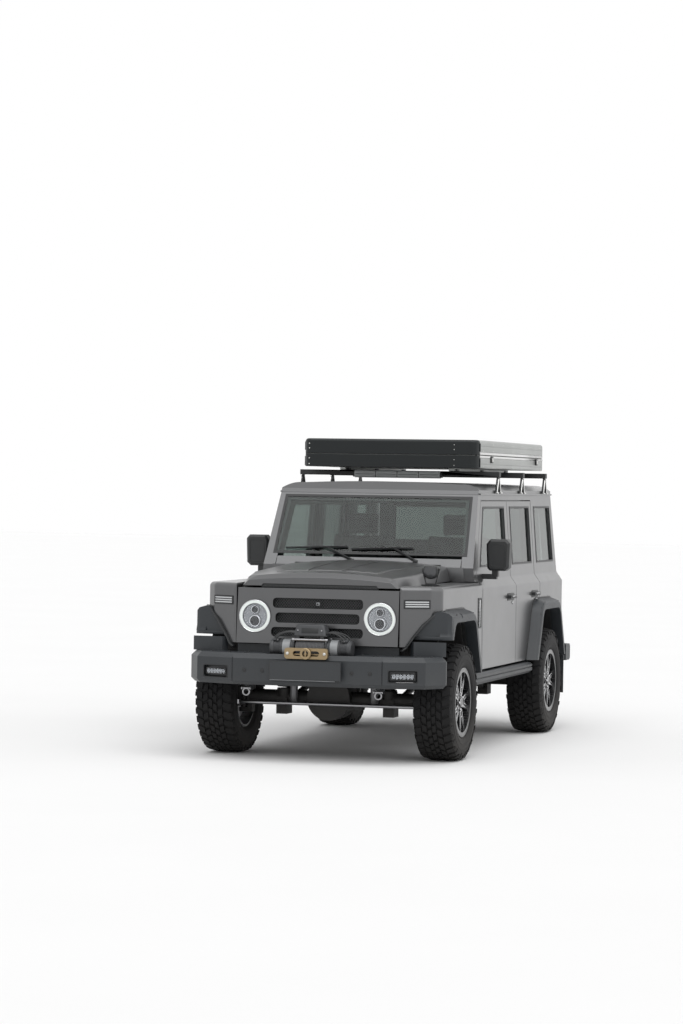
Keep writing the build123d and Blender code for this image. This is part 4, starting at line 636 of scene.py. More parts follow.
# Headlamps: white ring, dark bowl, two projectors with glass domes and a clear cover
look = {
    "x": 0.457, "z": 1.009, "face": -2.0819, "fins": 22, "finAt": 0.074,
    "lights": [(-0.034, 0.04), (0.046, 0.028)],
    "halo": [(0.0905, -0.002), (0.0925, 0.0022), (0.1085, 0.0022), (0.1105, -0.002)],
    "bowl": [(0.0, -0.0215), (0.086, -0.0135), (0.0905, -0.001), (0.0885, -0.001), (0.084, -0.012),
             (0.0, -0.0195)],
    "cover": [(0.0, 0.0068), (0.03, 0.0064), (0.06, 0.0048), (0.09, 0.0012), (0.09, 0.0), (0.06, 0.0036),
              (0.03, 0.0052), (0.0, 0.0056)],
    # radius as a share of the projector's, and level
    "barrel": [(0.8, -0.018), (1.04, -0.018), (1.04, -0.001), (0.98, 0.0015), (0.86, 0.0015), (0.8, -0.004)],
}
haloBm, bowlBm, lensBm, coverBm = [bmesh.new() for _ in range(4)]
lampPlace = along(look["x"], look["face"], look["z"])  # local Z points forwards
join(haloBm, turned(look["halo"], 64), 0, lampPlace, True)
join(coverBm, turned(look["cover"], 56), 0, lampPlace, True)
join(bowlBm, roundRing(0.1125, 0.0032, 64, 8), 1, lampPlace, True)
join(bowlBm, turned(look["bowl"]), 0, lampPlace, True)
for rise, radius in look["lights"]:
    spot = lampPlace @ shift(0, rise, 0)
    join(bowlBm, turned([(radius * share, z) for share, z in look["barrel"]], 40), 1, spot, True)
    arc = [math.radians(angle) for angle in range(15, 91, 15)]
    dome = [(radius * 0.78 * math.sin(a), 0.0015 - 0.012 * (1 - math.cos(a))) for a in arc]
    join(lensBm, turned([(0.0, 0.0015)] + dome + [(0.0, -0.014)], 40), 0, spot, True)
for count in range(look["fins"]):
    at = lampPlace @ turnBy(-360 / look["fins"] * count, "Z") @ shift(0, look["finAt"], -0.0115)
    join(bowlBm, box((0.0035, 0.004, 0.024), 0.0008), 1, at, True)
for name, bm, looks in (("Rings", haloBm, ["haloWhite"]), ("Bowls", bowlBm, ["lampBowl", "chrome"]),
                        ("Projectors", lensBm, ["lampLens"]), ("Covers", coverBm, ["lampLens"])):
    finishPiece("headlamp" + name, bm, looks)

# Indicators: three bright bars over each dark frame on the swept nose
look = {"middle": (0.708, frontY - 0.4711, 1.117), "run": (0.8794, 0.4762, 0), "out": (0.4762, -0.8794, 0),
        "bar": (0.17, 0.0045, 0.0098), "gap": 0.016}
lightPlace = shift(*look["middle"]) @ axes(look["run"], look["out"], (0, 0, 1))
bm = bmesh.new()
for row in (-1, 0, 1):
    join(bm, box(look["bar"], 0.0018), 0, lightPlace @ shift(0, 0.0035, row * look["gap"]), True)
finishPiece("indicatorBars", bm, ["paleLens"])
bm = bmesh.new()
fourBars(bm, 0.094, (0.0265, 0.0315), (0.0885, 0.0955), 0.03, (-0.01, 0.005), 0.0015, 0, lightPlace)
finishPiece("indicatorFrames", bm, ["trimBlack"])

# Fog lamps: a dark housing in each pocket with one bright bar of lit cells
look = {"middle": (0.68, frontY - 0.7244, 0.625), "run": (0.9588, 0.284, 0), "out": (0.284, -0.9588, 0),
        "cells": 6, "pitch": 0.025,
        "cup": [(0.0, -0.002), (0.007, -0.001), (0.0112, 0.0045), (0.0122, 0.0045), (0.0122, -0.004),
                (0.0, -0.004)]}
lightPlace = shift(*look["middle"]) @ axes(look["run"], look["out"], (0, 0, 1))
bm, lensBm = bmesh.new(), bmesh.new()
join(bm, box((0.2, 0.01, 0.08), 0.002), 1, lightPlace @ shift(0, -0.03, 0), True)
join(bm, box((0.176, 0.012, 0.05), 0.004), 1, lightPlace @ shift(0, -0.022, 0), True)
for cell in range(look["cells"]):
    x = (cell - (look["cells"] - 1) / 2) * look["pitch"]
    cup = turned(look["cup"], 20)
    bmesh.ops.scale(cup, vec=(1, 1.35, 1), verts=cup.verts)
    join(bm, cup, 0, lightPlace @ along(x, -0.014, 0), True)
    join(bm, box((0.008, 0.003, 0.022), 0.001), 3, lightPlace @ shift(x, -0.0165, 0), True)
fourBars(bm, 0.082, (0.0185, 0.0225), (0.078, 0.084), 0.0225, (-0.018, -0.006), 0.0012, 2, lightPlace)
fourBars(bm, 0.104, (0.0395, 0.0445), (0.0995, 0.1045), 0.042, (-0.006, 0.002), 0.0018, 2, lightPlace)
join(lensBm, box((0.156, 0.0025, 0.038), 0.001), 0, lightPlace @ shift(0, -0.0068, 0), True)
fog = finishPiece("fogReflectors", bm, ["lampBowl", "lampDark", "trimBlack", "brightPlastic"])
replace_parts(fog, "fog_lamps")
finishPiece("fogLenses", lensBm, ["lampLens"])
print("lamps made")

# Grille: fine wire behind each slot, a small camera in the top one, black strip under the bonnet lip
look = {"slots": [(0.326, 1.07, 1.141), (0.303, 0.967, 1.038), (0.331, 0.87, 0.936)], "pitch": 0.019,
        "wire": 0.0034, "studs": 21}
bm = bmesh.new()
for half, foot, head in look["slots"]:
    net = bmesh.new()
    columns, rows = int(2 * half / look["pitch"]), max(2, int((head - foot) / look["pitch"]))
    bmesh.ops.create_grid(net, x_segments=columns, y_segments=rows, size=0.5)
    bmesh.ops.scale(net, vec=(2 * half - 0.012, head - foot - 0.004, 1), verts=net.verts)
    bmesh.ops.poke(net, faces=net.faces)
    straight = [edge for edge in net.edges if len(edge.link_faces) == 2
                and min(abs(edge.verts[0].co[k] - edge.verts[1].co[k]) for k in (0, 1)) < 1e-6]
    bmesh.ops.dissolve_edges(net, edges=straight)
    bmesh.ops.wireframe(net, faces=net.faces, thickness=look["wire"], offset=0, use_replace=True,
                        use_boundary=True, use_even_offset=False)
    middle = (foot + head) / 2
    depth = frontY - 0.523 + (middle - 0.819) / 0.389 * 0.031
    join(bm, net, 0, along(0, depth, middle))
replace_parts(finishPiece("grilleWire", bm, ["meshGrey"], sharp=60), "grille_mesh")
bm = bmesh.new()
join(bm, box((0.024, 0.016, 0.022), 0.003), 0, (0, frontY - 0.512, 1.103))
join(bm, disc(0.0065, 0.006, 0.001, 24), 1, along(0, frontY - 0.522, 1.103))
join(bm, span((-0.428, frontY - 0.478, 1.206), (0.428, frontY - 0.4685, 1.237), 0.002), 1)
for count in range(look["studs"]):
    join(bm, box((0.024, 0.004, 0.009), 0.001), 1, (-0.4 + count * 0.04, frontY - 0.479, 1.22))
finishPiece("grilleEye", bm, ["brightPlastic", "trimBlack"])
print("grille made")

# Seals: black frames round the windscreen and the side windows, set on the glass plane
screenPlace = shift(0, frontY + 0.799, 1.433) @ axes((1, 0, 0), (0, 0.474, 0.8805), (0, -0.8805, 0.474))
screenTop = math.hypot(0.232, 0.431) + 0.006
bm = bmesh.new()
outline = [(-0.747, -0.006), (0.747, -0.006), (0.726, screenTop), (-0.726, screenTop)]
join(bm, frameStrip(outline, 0.022, 0.0035), 0, screenPlace @ shift(0, 0, -0.001))
finishPiece("screenSeal", bm, ["trimBlack"])
look = {"foot": 1.355, "head": 1.79, "bend": 1.262, "wide": 0.015, "thick": 0.0045, "grow": 0.007}
sidePlace = shift(0.812, 0, look["bend"]) @ axes((0, 1, 0), (-0.0755, 0, 0.9971), (0.9971, 0, 0.0755))
windows = {"door_front": (-0.577, -0.38, 0.283, 0.283), "door_rear": (0.483, 0.483, 1.138, 1.138),
           "root": (1.328, 1.328, 1.891, 1.9255)}  # Y of the corners: front foot and head, rear head and foot
for stem, stations in windows.items():
    for side in ("left", "right"):
        bm = bmesh.new()
        heights = [(look[end] - look["bend"]) / 0.9971 for end in ("foot", "head", "head", "foot")]
        middleY, middleZ = sum(stations) / 4, sum(heights) / 4
        grown = [(y + math.copysign(look["grow"], y - middleY), z + math.copysign(look["grow"], z - middleZ))
                 for y, z in zip(stations, heights)]
        join(bm, frameStrip(grown, look["wide"], look["thick"]), 0, sidePlace @ shift(0, 0, -0.0015))
        if side == "right":
            flip(bm)
        finishPiece(f"windowSeal_{stem}_{side}", bm, ["trimBlack"],
                    "root" if stem == "root" else f"{stem}_{side}")
print("seals made")

# Wipers: arm from the cowl, bent at an elbow, and a blade along the foot of the screen
wipers = [
    # pivot and elbow, and the blade's ends as x with height up the glass
    ((-0.13, frontY + 0.77, 1.392), (-0.345, frontY + 0.812, 1.486), (-0.65, 0.034), (-0.17, 0.052)),
    ((0.36, frontY + 0.77, 1.392), (0.19, frontY + 0.81, 1.48), (-0.14, 0.034), (0.33, 0.052)),
]
bm = bmesh.new()
for pivot, elbow, *ends in wipers:
    start, end = [screenPlace @ Vector((x, rise, 0.012)) for x, rise in ends]
    middle = (start + end) / 2
    join(bm, bar(start, end, 0.007, 0.014, 0.002))
    join(bm, bar(start.lerp(end, 0.12), start.lerp(end, 0.88), 0.012, 0.007, 0.002), 0, (0, -0.006, 0.004))
    join(bm, bar(pivot, elbow, 0.022, 0.012, 0.004))
    join(bm, bar(elbow, middle + Vector((0, -0.008, 0.004)), 0.01, 0.006, 0.002))
    join(bm, disc(0.019, 0.03, 0.004, 24), 0, shift(*pivot) @ shift(0, 0.004, -0.01))
    join(bm, box((0.03, 0.02, 0.014), 0.003), 0, shift(*middle) @ shift(0, -0.007, 0.004))
finishPiece("wipers", bm, ["trimBlack"])

# Cowl: body-coloured closing panels beside the bonnet's rear end, black air grille and washer jets
look = {"foot": 1.2425, "head": 1.349, "inner": 0.56, "outer": 0.742, "slats": 26, "pitch": 0.0436}
bm = bmesh.new()
panel = [(look["inner"], look["foot"]), (look["outer"], look["foot"]), (look["outer"] - 0.01, look["head"]),
         (look["inner"], look["head"])]
join(bm, prism(panel, 0.006, 0.0015), 0, along(0, frontY + 0.7495, 0), True)
join(bm, span((-0.56, frontY + 0.7475, 1.352), (0.56, frontY + 0.7535, 1.366), 0.002), 1)
for count in range(look["slats"]):
    join(bm, box((0.014, 0.003, 0.009), 0.001), 1, (-0.545 + count * look["pitch"], frontY + 0.7465, 1.359))
for x in (-0.24, 0.36):
    join(bm, box((0.02, 0.016, 0.01), 0.003), 1, (x, frontY + 0.79, 1.4))
finishPiece("cowlPanels", bm, ["bodyPaint", "trimBlack"])

# Side vents: black louvred inserts with a bright upright bar
look = {"y": frontY + 0.748, "z": 1.019, "half": 0.054, "tall": 0.112, "edge": 0.01, "louvres": 9}
bm = bmesh.new()
half, tall, edge = look["half"], look["tall"], look["edge"]
for low, high in (((-half, -tall), (half, edge - tall)), ((-half, tall - edge), (half, tall)),
                  ((-half, -tall), (edge - half, tall)), ((half - edge, -tall), (half, tall))):
    join(bm, span((0.846, low[0], low[1]), (0.8625, high[0], high[1]), 0.002), 0, (0, look["y"], look["z"]),
         True)
for count in range(look["louvres"]):
    z = look["z"] + (2 * count / (look["louvres"] - 1) - 1) * (tall - 0.02)
    join(bm, box((0.018, 2 * half - 0.012, 0.003), 0.001), 0, shift(0.8525, look["y"], z) @ turnBy(35, "Y"),
         True)
join(bm, span((0.85, -0.007, 0.012 - tall), (0.8655, 0.007, tall - 0.012), 0.003), 1,
     (0, look["y"], look["z"]), True)
finishPiece("sideVents", bm, ["trimBlack", "chrome"])

# Door handles: dished plate, lock and pull
handleY = {"front": frontY + 1.745, "rear": rearY - 0.28}
for name, y in handleY.items():
    for side, sideName in ((1, "left"), (-1, "right")):
        bm = bmesh.new()
        for size, soft, x, z, index in (
                ((0.003, 0.215, 0.056), 0.0012, 0.8612, 1.111, 0),
                ((0.01, 0.15, 0.018), 0.004, 0.886, 1.111, 0),
                ((0.004, 0.12, 0.006), 0.0015, 0.8895, 1.1165, 1)):
            join(bm, box(size, soft), index, (side * x, y, z))
        for radius, deep, soft, x, index in ((0.011, 0.006, 0.0015, 0.8625, 1),
                                             (0.014, 0.003, 0.001, 0.8612, 0)):
            join(bm, disc(radius, deep, soft, 24), index, across(side * x, y + 0.06, 1.066))
        finishPiece(f"handle_{name}_{sideName}", bm, ["trimBlack", "chrome"],
                    f"door_{name}_{sideName}")


# Points along the outer line of a wheel arch, grown by a margin
def archLine(middle, grow):
    foot, top, halfTop = 0.605, 0.988 + grow, 0.29 + grow * 0.62
    halfFoot = halfTop + (top - foot) * 0.4639
    radius = 0.095 + grow
    lean = math.atan2(halfFoot - halfTop, top - foot)
    centreY = halfTop - radius * math.tan((math.pi / 2 - lean) / 2)
    angles = [lean + (math.pi / 2 - lean) * k / 6 for k in range(7)]
    arc = [(centreY + radius * math.cos(a), top - radius + radius * math.sin(a)) for a in angles]
    right = [(halfFoot, foot)] + arc
    return [(middle + y, z) for y, z in right] + [(middle - y, z) for y, z in reversed(right)]


# Dark bands: along the slanted seam of the nose, and over each flare against the body
look = {"seam": [(0.615, -0.525, 0.8), (0.64, -0.5115, 0.819), (0.683, -0.488, 0.889), (0.746, -0.454, 0.977),
                 (0.822, -0.396, 1.057), (0.861, -0.34, 1.0735)], "wide": 0.034, "thick": 0.012}
noseEnd = frontY - 0.345  # where the front flare's upper line stops
bm = bmesh.new()
points = [Vector((x, frontY + y, z)) for x, y, z in look["seam"]]
for start, end in zip(points, points[1:]):
    grow = (end - start).normalized() * 0.006
    strip = bar(start - grow, end + grow, look["thick"], look["wide"], 0.003, (0.5, -0.86, 0))
    join(bm, strip, 0, (0.001, -0.001, -0.006), True)
for middle in (frontY, rearY):
    line = [point for point in archLine(middle, 0.086) if middle == rearY or point[0] > noseEnd]
    for (ya, za), (yb, zb) in zip(line, line[1:]):
        join(bm, bar((0.8615, ya, za), (0.8615, yb, zb), 0.006, 0.012, 0.0015, (0, 0.3, 1)), both=True)
finishPiece("seamBands", bm, ["trimBlack"])

# Lower lip of each front flare, down to the corner pod of the bumper
look = {"outline": [(0.684, -1.998), (0.86, -1.969), (0.916, -1.952), (0.938, -1.934), (0.944, -1.92),
                    (0.944, -1.882), (0.684, -1.882)], "foot": 0.8685, "tall": 0.025}
bm = bmesh.new()
join(bm, prism(look["outline"], look["tall"], 0.002), 0, (0, 0, look["foot"]), True)
finishPiece("flareLips", bm, ["texturedPlastic"])

# Fixings: heads on flares, bumpers and steps
bm = bmesh.new()
for middle in (frontY, rearY):
    for y, z in archLine(middle, 0.052)[::2]:
        if z > 0.65 and (middle == rearY or y >= noseEnd):
            join(bm, disc(0.0075, 0.006, 0.0012, 12), 0, across(0.9335, y, z), True)
for x, y in ((0.36, -0.62), (0.47, -0.62), (0.47, -0.7), (0.6, -0.66), (0.74, -0.6), (0.84, -0.56)):
    join(bm, disc(0.01, 0.008, 0.0015, 6), 0, (x, frontY + y, 0.759), True)
for y in (-1.0, -0.62, -0.24, 0.14, 0.52):
    join(bm, disc(0.009, 0.006, 0.0012, 6), 0, (0.8, y, 0.5865), True)
finishPiece("fixings", bm, ["blackSteel"])

# Bumper: sensors, plate holder, and a bow shackle with its pin in each tow eye
look = {"sensors": (0.325, 0.455), "plate": frontY - 0.8142, "eye": (0.481, frontY - 0.632, 0.5)}
bm = bmesh.new()
for x in look["sensors"]:
    for part in (disc(0.0125, 0.005, 0.0012, 28), roundRing(0.0135, 0.0014, 32, 6)):
        join(bm, part, 0, along(x, frontY - 0.7655, 0.64), True)
outline = [(-0.2595, -0.0655), (0.2595, -0.0655), (0.2595, 0.0655), (-0.2595, 0.0655)]
join(bm, frameStrip(outline, 0.0045, 0.0016), 0, along(0, look["plate"] + 0.001, 0.65))
join(bm, span((-0.255, look["plate"] + 0.004, 0.5795), (0.215, look["plate"] + 0.014, 0.5845), 0.0015), 2)
for x in (-0.225, 0.225):
    join(bm, disc(0.0045, 0.002, 0.0006, 16), 0, along(x, look["plate"] + 0.0006, 0.695))
for side in (-1, 1):
    x, y, z = look["eye"]
    join(bm, roundRing(0.0235, 0.0062, 28, 10), 1, along(side * x, y, z - 0.018))
    join(bm, disc(0.0068, 0.058, 0.0015, 20), 1, across(side * x, y, z + 0.008))
    for end in (-0.031, 0.031):
        join(bm, disc(0.0125, 0.009, 0.002, 20), 1, across(side * x + end, y, z + 0.008))
finishPiece("bumperDetails", bm, ["trimBlack", "steel", "brightPlastic"])
print("front trim made")

# Winch: stepped motor and gear housings, laid rope, tie bars, and a sloping control box with its cables
look = {
    "y": frontY - 0.645, "z": 0.8, "rope": 0.0046, "laid": 0.053, "turns": 22, "pitch": 0.0098,
    # radius and place along the winch, from the drum outwards
    "motor": [(0.0, 0.124), (0.0655, 0.124), (0.0655, 0.137), (0.0605, 0.141), (0.0605, 0.205),
              (0.0635, 0.208), (0.0635, 0.216), (0.059, 0.219), (0.059, 0.262), (0.063, 0.266),
              (0.063, 0.282), (0.056, 0.2915), (0.05, 0.296), (0.0, 0.2985)],
    "flange": [(-0.066, -0.07), (0.066, -0.07), (0.066, 0.045), (0.045, 0.068), (-0.045, 0.068),
               (-0.066, 0.045)],
    "tie": [(0.0, 0.13), (0.0105, 0.13), (0.0115, 0.124), (0.0115, 0.112), (0.0098, 0.11)],
    "box": {"low": 0.884, "size": (0.246, 0.124, 0.082), "slopeX": 0.022, "slopeY": 0.012},
    # each cable's points: x and its step from cable to cable, y, z
    "cable": [(0.112, 0, 0, 0.906), (0.14, 0, 0, 0.912), (0.185, 0.016, -0.004, 0.906),
              (0.226, 0.018, -0.008, 0.886), (0.244, 0.016, -0.01, 0.862), (0.24, 0.01, -0.006, 0.848)],
}
middle = shift(0, look["y"], look["z"])
bm = bmesh.new()
for radius, count in ((look["laid"], look["turns"]), (look["laid"] + 0.008, look["turns"] - 1)):
    for turn in range(count):
        at = middle @ across((turn - (count - 1) / 2) * look["pitch"], 0, 0)
        join(bm, roundRing(radius, look["rope"], 36, 8), 0, at)
finishPiece("winchRope", bm, ["ropeGrey"], sharp=60)
bm = bmesh.new()
for side in (-1, 1):
    join(bm, turned([(radius, side * x) for radius, x in look["motor"]]), 0, middle @ crossways)
    join(bm, band(0.06, 0.0616, -0.027, 0.027, 48), 3, middle @ across(side * 0.173, 0, 0))
    for rib in range(6):
        at = middle @ across(side * (0.224 + rib * 0.0065), 0, 0)
        join(bm, band(0.0585, 0.0612, -0.0013, 0.0013, 40), 0, at)
    for k in range(8):
        angle = math.radians(45 * k + 12)
        at = middle @ across(side * 0.2885, 0.0475 * math.cos(angle), 0.0475 * math.sin(angle))
        join(bm, disc(0.0055, 0.008, 0.001, 6), 1, at)
    join(bm, prism(look["flange"], 0.012, 0.002), 0,
         middle @ shift(side * 0.118 - 0.006, 0, 0) @ axes((0, 1, 0), (0, 0, 1), (1, 0, 0)))
    for k in range(3):
        atY = look["y"] - 0.046 + 0.03 * k
        path = [(side * (x + step * k), atY + y, z) for x, step, y, z in look["cable"]]
        path[1] = (*path[1][:2], 0.912 + 0.004 * k)
        join(bm, tube(path, 0.006), 2)
        join(bm, turned([(0.0, 0.0), (0.0095, 0.0), (0.0095, 0.01), (0.0065, 0.014), (0.0, 0.014)], 16), 1,
             (side * (0.24 + 0.01 * k), atY, 0.85))
    join(bm, box((0.046, 0.066, 0.016), 0.003), 0, (side * 0.25, look["y"] - 0.016, 0.8575))
    join(bm, disc(0.0055, 0.005, 0.001, 6), 1, along(side * 0.086, look["y"] - 0.0595, 0.926))
    join(bm, box((0.026, 0.112, 0.018), 0.003), 0, (side * 0.088, look["y"], 0.877))
    tie = [(radius, -x) for radius, x in look["tie"]] + look["tie"][::-1]
    join(bm, turned(tie, 24), 1, middle @ across(0, side * 0.05, 0.06))
join(bm, disc(0.048, 0.236, 0.001, 40), 2, middle @ crossways)
low, (wide, deep, tall) = look["box"]["low"], look["box"]["size"]
case = box((wide, deep, tall))
for vert in case.verts:
    if vert.co.z > 0:
        vert.co.x -= math.copysign(look["box"]["slopeX"], vert.co.x)
        vert.co.y -= math.copysign(look["box"]["slopeY"], vert.co.y)
bevel(case, edgesAlong(case, 2), 0.02, 4)
bevel(case, list(topFace(case).edges), 0.009, 3)
join(bm, case, 0, (0, look["y"], low + tall / 2))
join(bm, box((0.252, 0.128, 0.008), 0.003), 2, (0, look["y"], low + 0.004))
join(bm, box((0.12, 0.004, 0.034), 0.0015), 2,
     shift(0, look["y"] - 0.059, 0.926) @ Matrix.Rotation(-0.145, 4, "X"))
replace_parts(finishPiece("winchBody", bm, ["winchGrey", "steel", "trimBlack", "brightPlastic"]),
            "winch")

# Fairlead: lipped ring with its pin, and two bolts
look = {"ring": [(0.0225, -0.0075), (0.0215, 0.0), (0.0225, 0.0075), (0.035, 0.009), (0.0395, 0.0065),
                 (0.037, 0.0), (0.0395, -0.0065), (0.035, -0.009)], "y": frontY - 0.8015, "z": 0.768,
        "bolt": [(0.0, 0.0065), (0.007, 0.0065), (0.0105, 0.004), (0.0105, -0.004), (0.0, -0.004)]}
bm = bmesh.new()
for part in (turned(look["ring"]), band(0.0, 0.0085, -0.004, 0.004)):
    join(bm, part, 0, along(0, look["y"], look["z"]))
join(bm, bar((0, look["y"], look["z"] - 0.021), (0, look["y"], look["z"] + 0.021), 0.011, 0.01, 0.002,
             (0, 1, 0)))
for x in (-0.134, 0.134):
    join(bm, turned(look["bolt"], 24), 1, along(x, look["y"] + 0.008, look["z"]))
finishPiece("fairleadFittings", bm, ["goldMetal", "paleMetal"])
print("winch made")

# Tent: extruded side rails with a polished lip at the joint, corner mouldings, seal, latches and rivets
look = {"front": frontY + 1.34, "rear": rearY + 0.755, "half": 0.685, "top": 2.297, "corner": 0.062,
        "seal": (2.1796, 2.1854)}
front, rear, half = look["front"], look["rear"], look["half"]
cornerFront, cornerRear = front + look["corner"], rear - look["corner"]
for piece, body, lip, bands in (("tentBaseRails", "root", (2.164, 2.18), ((2.0885, 2.112), (2.115, 2.16))),
                                ("tentLidRails", "tent_lid", (2.1862, 2.204),
                                 ((2.208, 2.248), (2.251, 2.272)))):
    bm = bmesh.new()
    foot, head = bands[0][0], bands[1][1]
    for index, proud, (low, high) in ((1, 0.0045, lip), (0, 0.0028, bands[0]), (0, 0.0028, bands[1])):
        join(bm, span((half - 0.002, cornerFront, low), (half + proud, cornerRear, high), 0.0022), index,
             both=True)
        join(bm, span((look["corner"] - half, rear - 0.002, low), (half - look["corner"], rear + proud, high),
                      0.0022), index)
    for count in range(7):
        for z in (foot + 0.006, head - 0.006):
            at = across(half + 0.0034, front + 0.16 + count * 0.325, z)
            join(bm, disc(0.004, 0.003, 0.001, 12), 1, at, True)
    join(bm, span((half - 0.001, cornerFront - 0.012, foot), (half + 0.0055, cornerFront + 0.006, head),
                  0.0025), 2, both=True)
    for z in (foot + 0.014, head - 0.014):
        join(bm, disc(0.005, 0.003, 0.001, 12), 3, along(-0.64, front + 0.0025, z))
        join(bm, disc(0.0035, 0.003, 0.001, 12), 3, along(0.5, front - 0.0005, z))
    finishPiece(piece, bm, ["tentPanel", "polished", "tentFront", "paleMetal"], body)
bm = bmesh.new()
for k in range(-2, 3):
    join(bm, span((0.23 * k - 0.045, front + 0.16, look["top"] - 0.006),
                  (0.23 * k + 0.045, rear - 0.16, look["top"] - 0.0005), 0.0025))
finishPiece("tentLidRibs", bm, ["tentFront"], "tent_lid")
bm = bmesh.new()
low, high = look["seal"]
join(bm, span((0.012 - half, front + 0.012, low), (half - 0.012, front + 0.02, high), 0.001))
join(bm, span((0.012 - half, rear - 0.02, low), (half - 0.012, rear - 0.012, high), 0.001))
join(bm, span((half - 0.02, front + 0.012, low), (half - 0.012, rear - 0.012, high), 0.001), both=True)
for y in (front + 0.42, rear - 0.3):
    join(bm, box((0.01, 0.06, 0.052), 0.003), 0, (half + 0.008, y, 2.152), True)
    join(bm, box((0.006, 0.034, 0.03), 0.002), 1, (half + 0.014, y, 2.15), True)
join(bm, box((0.06, 0.01, 0.052), 0.003), 0, (0.42, rear + 0.008, 2.152), True)
for y in (0.083, 0.883, 1.703):
    join(bm, box((0.06, 0.09, 0.016), 0.003), 0, (0.43, y, 2.068), True)
finishPiece("tentFittings", bm, ["trimBlack", "paleMetal"])
print("tent made")

# Light bar: rounded pale covers with a seam between them, on dark end stays
look = {"pitch": 0.17, "cover": (0.165, 0.06, 0.055), "y": 0.0255, "z": 2.031}
bm = bmesh.new()
for k in (-1.5, -0.5, 0.5, 1.5):
    cover = box(look["cover"])
    bevel(cover, edgesAlong(cover, 0), 0.015, 4)
    join(bm, soften(cover, 0.002, 1, 60), 0, (k * look["pitch"], look["y"], look["z"]))
    join(bm, box((0.15, 0.004, 0.006), 0.0015), 2, (k * look["pitch"], look["y"] - 0.0295, look["z"]))
for x in (-0.346, 0.346):
    join(bm, box((0.012, 0.05, 0.044), 0.003), 1, (x, look["y"], look["z"]))
for k in (-1, 0, 1):
    join(bm, box((0.0065, 0.05, 0.046), 0.001), 1, (k * look["pitch"], look["y"], look["z"]))
finishPiece("lightBarCovers", bm, ["paleCover", "trimBlack", "brightPlastic"])

# Rack feet: bright clamps on the gutter
bm = bmesh.new()
for y in (0.083, 0.893, 1.703):
    for end in (-1, 1):
        foot, head = (0.783, y + end * 0.058, 1.902), (0.783, y + end * 0.014, 2.006)
        join(bm, bar(foot, head, 0.016, 0.005, 0.0015, (1, 0, 0)), both=True)
        join(bm, box((0.02, 0.034, 0.01), 0.002), 0, (0.784, y + end * 0.056, 1.9005), True)
    join(bm, disc(0.008, 0.008, 0.001, 6), 0, across(0.786, y, 2.008), True)
finishPiece("rackClamps", bm, ["polished"])

# Mirrors: silvered faces towards the cab, a framed recess on the front of each head
look = {"y": frontY + 1.025,
        "face": [(0.862, 1.35), (0.856, 1.512), (0.88, 1.543), (0.99, 1.543), (1.008, 1.522),
                 (1.002, 1.352), (0.98, 1.337), (0.88, 1.337)]}
for side, sideName in ((1, "left"), (-1, "right")):
    bm = bmesh.new()
    outline = [(side * x, z) for x, z in look["face"]]
    middle = [sum(values) / len(outline) for values in zip(*outline)]
    recess = [(middle[0] + (x - middle[0]) * 0.8, middle[1] + (z - middle[1]) * 0.82) for x, z in outline]
    join(bm, prism(outline, 0.004, 0.001), 0, along(0, look["y"] + 0.0595, 0))
    join(bm, frameStrip(recess, 0.006, 0.003, 0.001), 1, along(0, look["y"] - 0.0395, 0))
    finishPiece("mirrorFace_" + sideName, bm, ["mirrorSilver", "trimBlack"],
                "door_front_" + sideName)

# Small mirror on the left wing: dished head with a flat top, in a fork on a wide foot
look = {"at": (0.722, frontY - 0.15, 1.343), "radius": 0.056, "from": 40, "sweep": 260, "steps": 26}
bm = bmesh.new()
angles = [math.radians(look["from"] - look["sweep"] * k / look["steps"]) for k in range(look["steps"] + 1)]
outline = [(look["radius"] * math.cos(a), look["radius"] * math.sin(a)) for a in angles]
head = prism(outline, 0.058)
bevel(head, list(topFace(head).edges), 0.009, 3)
middle = shift(*look["at"])
join(bm, head, 0, middle @ along(0, 0.027, 0))
join(bm, prism([(x * 0.8, z * 0.8) for x, z in outline], 0.003, 0.0008), 1,
     middle @ along(0, -0.0298, 0))
for side in (-1, 1):
    join(bm, bar((side * 0.064, 0, 0.012), (side * 0.033, 0, -0.094), 0.0065, 0.022, 0.0015, (0, 1, 0)), 0,
         middle)
    join(bm, disc(0.01, 0.012, 0.002, 20), 0, middle @ across(side * 0.06, 0, 0.012))
join(bm, box((0.132, 0.052, 0.008), 0.003), 0, middle @ shift(0, 0, -0.0985))
join(bm, box((0.078, 0.03, 0.01), 0.003), 0, middle @ shift(0, 0, -0.092))
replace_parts(finishPiece("wingMirror", bm, ["trimBlack", "smokedLens"]), "wing_mirror_pod")
print("mirrors made")

# Suspension: wound springs, dampers with rods and their stays, in place of the plain cylinders
look = {"x": 0.39, "coil": 0.0505, "wire": 0.007, "turns": 6.5, "damper": 0.3, "stay": 0.35}
bm = bmesh.new()
for axleY, top, damperY in ((frontY, 0.65, frontY - 0.077), (rearY, 0.575, rearY + 0.077)):
    foot, steps, barrel = axleZ + 0.055, int(look["turns"] * 12), top - 0.37
    for side in (-1, 1):
        x, damperX = side * look["x"], side * look["damper"]
        path = [(x + look["coil"] * math.cos(math.pi * k / 6),
                 axleY + look["coil"] * math.sin(math.pi * k / 6),
                 foot + 0.007 + (top - foot - 0.014) * k / steps) for k in range(steps + 1)]
        join(bm, tube(path, look["wire"], 8))
        for z in (foot + 0.003, top - 0.003):
            join(bm, disc(0.056, 0.006, 0.0015, 32), 1, (x, axleY, z))
        join(bm, disc(0.029, barrel, 0.004, 28), 2, (damperX, damperY, axleZ - 0.03 + barrel / 2))
        join(bm, disc(0.01, 0.18, 0.0, 20), 1, (damperX, damperY, top - 0.045))
        join(bm, disc(0.022, 0.028, 0.003, 24), 1, (damperX, damperY, axleZ - 0.026))
        join(bm, span((damperX, damperY - 0.017, top + 0.016),
                      (side * look["stay"], damperY + 0.017, top + 0.048), 0.003), 1)
